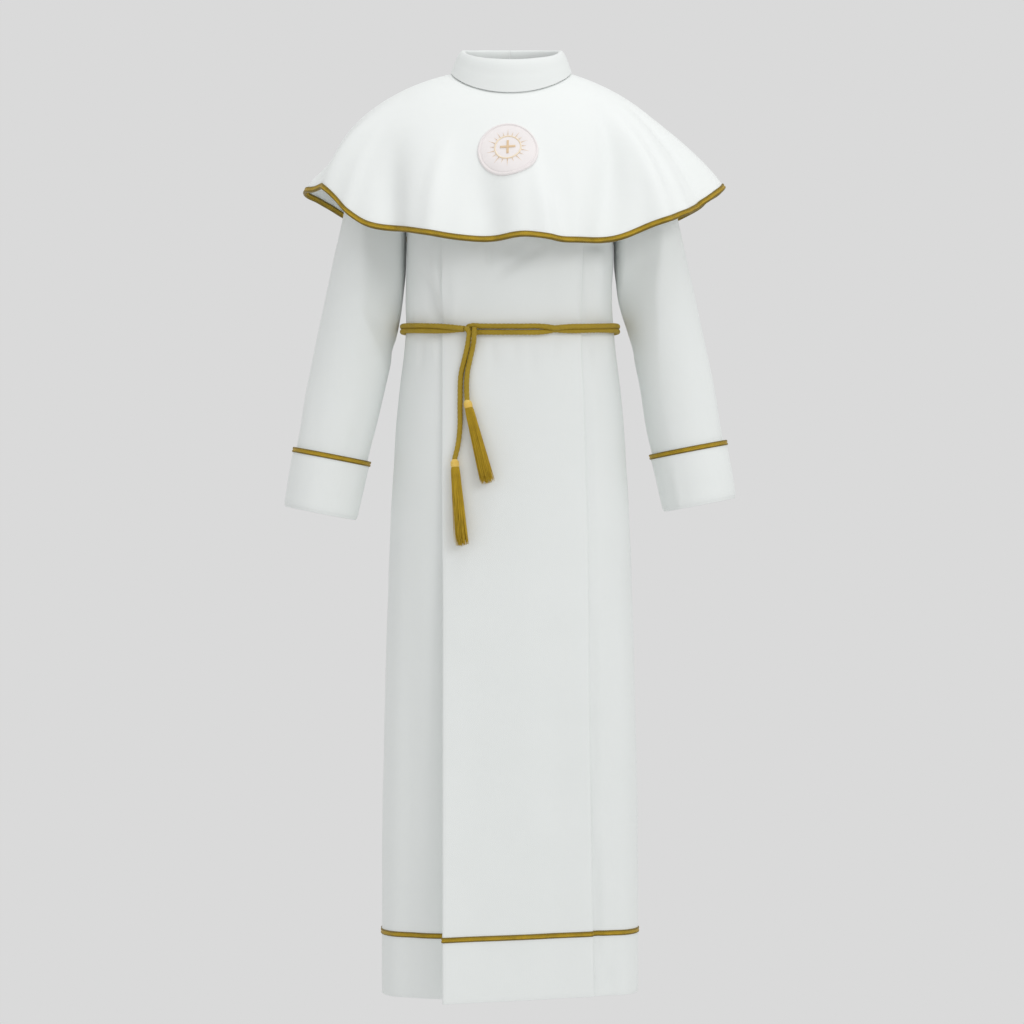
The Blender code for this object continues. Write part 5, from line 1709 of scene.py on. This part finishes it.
Shades = namedtuple("Shades", "low high")
WHITES = Shades((0.845, 0.875, 0.86), (0.885, 0.91, 0.90))
# The cape's white is lighter than the robe's: partly the cape's own satin, partly painted light for the light
# its upturned faces catch.
CAPE_WHITES_PAINTED_LIGHTER = Shades((0.905, 0.935, 0.92), (0.94, 0.965, 0.955))
CREAMS = Shades((0.90, 0.85, 0.845), (0.95, 0.91, 0.905))
BRAID_GOLDS = Shades((0.19, 0.125, 0.003), (0.58, 0.375, 0.012))
ROPE_GOLDS = Shades((0.34, 0.225, 0.006), (0.47, 0.32, 0.012))
YARN_GOLDS = Shades((0.42, 0.265, 0.004), (0.66, 0.44, 0.016))
WRAP_GOLDS = Shades((0.92, 0.56, 0.06), (1.0, 0.80, 0.26))
PALE_GOLDS = Shades((0.92, 0.77, 0.56), (0.97, 0.86, 0.68))
FINE_GOLDS = Shades((0.70, 0.50, 0.30), (0.85, 0.66, 0.44))

WHITE = cloth_finish("white_cotton_blend", *WHITES, pitch=0.00055, roughness=0.78, sheen=0.1)
CAPE_WHITE_PAINTED_LIGHTER = cloth_finish("white_cape_cloth_painted_lighter", *CAPE_WHITES_PAINTED_LIGHTER, pitch=0.00055, roughness=0.62, sheen=0.3)
CREAM = cloth_finish("cream_satin", *CREAMS, pitch=0.0003, roughness=0.45, sheen=0.2)
GOLD = thread_finish("gold_braid", *BRAID_GOLDS, 0.00045, 0.5, roughness=0.4, metallic=0.3, paints_shade_and_highlight=True)
ROPE_GOLD = thread_finish("gold_rope", *ROPE_GOLDS, 0.0004, 0.6, roughness=0.62, sheen=0.05)
YARN = thread_finish("gold_tassel_yarn", *YARN_GOLDS, 0.0002, 0.8, roughness=0.7, sheen=0.1)
WRAP = thread_finish("bright_gold_wrap", *WRAP_GOLDS, 0.0002, 0.0, roughness=0.4, metallic=0.15)
SUN_GLOW = thread_finish("pale_gold_thread", *PALE_GOLDS, 0.0002, 0.0, roughness=0.5, metallic=0.1)
FINE_GOLD = thread_finish("fine_gold_thread", *FINE_GOLDS, 0.0002, 0.0, roughness=0.5, metallic=0.1)

# ---------------------------------------------------------------- camera, light and floor

CAMERA_PLACE = (0.0023, -4.5, -0.506)
FOCAL_PIXELS = 3913.0
PICTURE_SIDE = 1024.0
SENSOR_WIDTH = 36.0
BACKDROP = (0.701, 0.701, 0.701, 1)
FLOOR_Z = -1.16
FLOOR_RADIUS = 0.7
FLOOR_COLOUR = (0.62, 0.62, 0.62, 1)
FLOOR_FADE = (0.28, 0.66)  # from its middle, in metres: where it begins to fade, and where it is gone

Light = namedtuple("Light", "name place target size power colour")
LIGHTS = [
    Light("key", (3.0, -4.4, 1.8), (0, 0, -0.45), 2.4, 56.0, (1.0, 1.0, 0.995)),
    Light("overhead", (0.35, -0.9, 4.2), (0, 0, -0.3), 3.0, 44.0, (1.0, 1.0, 1.0)),
]


def make_camera():
    """A camera level with the garment's middle, in front of it."""
    data = bpy.data.cameras.new("camera")
    data.sensor_width = SENSOR_WIDTH
    data.lens = FOCAL_PIXELS / PICTURE_SIDE * SENSOR_WIDTH
    data.clip_end = 50.0
    camera = bpy.data.objects.new("camera", data)
    camera.location = CAMERA_PLACE
    camera.rotation_euler = (math.pi / 2, 0, 0)
    bpy.context.scene.collection.objects.link(camera)
    bpy.context.scene.camera = camera


def make_light(light):
    """A round soft light that points at its target."""
    data = bpy.data.lights.new(light.name, "AREA")
    data.shape = "DISK"
    data.size = light.size
    data.energy = light.power
    data.color = light.colour
    made = bpy.data.objects.new(light.name, data)
    made.location = light.place
    made.rotation_euler = (Vector(light.target) - Vector(light.place)).to_track_quat("-Z", "Y").to_euler()
    bpy.context.scene.collection.objects.link(made)


def make_studio():
    """A plain pale backdrop and floor, in soft light."""
    scene = bpy.context.scene
    scene.view_settings.view_transform = "Standard"
    world = bpy.data.worlds.new("studio")
    world.use_nodes = True
    world.node_tree.nodes["Background"].inputs["Color"].default_value = BACKDROP
    scene.world = world
    for light in LIGHTS:
        make_light(light)
    select_none()
    bpy.ops.mesh.primitive_circle_add(vertices=96, radius=FLOOR_RADIUS, fill_type="NGON")
    floor = bpy.context.object
    floor.location = (0, 0, FLOOR_Z)
    floor.name = "floor"
    finish, tree, shader = new_finish("pale_floor", 0.9)
    distance = tree.nodes.new("ShaderNodeVectorMath")
    distance.operation = "LENGTH"
    tree.links.new(tree.nodes.new("ShaderNodeTexCoord").outputs["Object"], distance.inputs[0])
    fade = tree.nodes.new("ShaderNodeMapRange")
    for label, value in zip(("From Min", "From Max", "To Min", "To Max"), (*FLOOR_FADE, 1.0, 0.0)):
        fade.inputs[label].default_value = value
    tree.links.new(distance.outputs["Value"], fade.inputs["Value"])
    tree.links.new(fade.outputs[0], shader.inputs["Alpha"])
    shader.inputs["Base Color"].default_value = FLOOR_COLOUR
    floor.data.materials.append(finish)
    bpy.ops.object.transform_apply()


# ---------------------------------------------------------------- the whole garment

CutSize = namedtuple("CutSize", "piece node width length area held rests_on")
CUTS = [  # each cloth's flat cut in metres, and in square metres
    CutSize("cloth_front", "robe_front", 0.52, 0.97, 0.49, "hung", ["cloth_front_yoke"]),
    CutSize("cloth_front_yoke", "robe_front_yoke", 0.30, 0.20, 0.047, "hung", ["cloth_back"]),
    CutSize("cloth_back", "robe_back", 0.46, 1.12, 0.42, "hung", ["cloth_front_yoke"]),
    CutSize("cloth_sleeve_left", "sleeve_left", 0.32, 0.42, 0.102, "hung", ["cloth_front_yoke"]),
    CutSize("cloth_sleeve_right", "sleeve_right", 0.32, 0.42, 0.103, "hung", ["cloth_front_yoke"]),
    CutSize("cloth_cuff_left", "cuff_left", 0.29, 0.13, 0.0355, "folded", ["cloth_sleeve_left"]),
    CutSize("cloth_cuff_right", "cuff_right", 0.29, 0.13, 0.0355, "folded", ["cloth_sleeve_right"]),
    CutSize("cloth_cape", "cape", 0.72, 0.62, 0.19, "hung", ["cloth_front_yoke"]),
    CutSize("cloth_collar", "collar", 0.36, 0.075, 0.026, "folded", ["cloth_cape"]),
]


def main():
    """Makes the garment, hides the model's parts that its pieces stand in for, hangs every new piece on the
    model's root body, and then makes the studio.
    """
    make_camera()
    make_cincture(ROPE_GOLD, YARN, WRAP)
    cloths, cape = make_garment(WHITE, CAPE_WHITE_PAINTED_LIGHTER)
    make_braids(cloths, cape, GOLD)
    make_patch(CREAM)
    make_sun(SUN_GLOW, FINE_GOLD)
    for cut in CUTS:
        piece = bpy.data.objects[cut.piece]
        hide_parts(cut.node)
    cad = set(frame["nodes"].values())
    for piece in bpy.context.scene.objects:
        if piece.type == "MESH" and piece not in cad:
            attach(piece, "root")
    make_studio()


main()
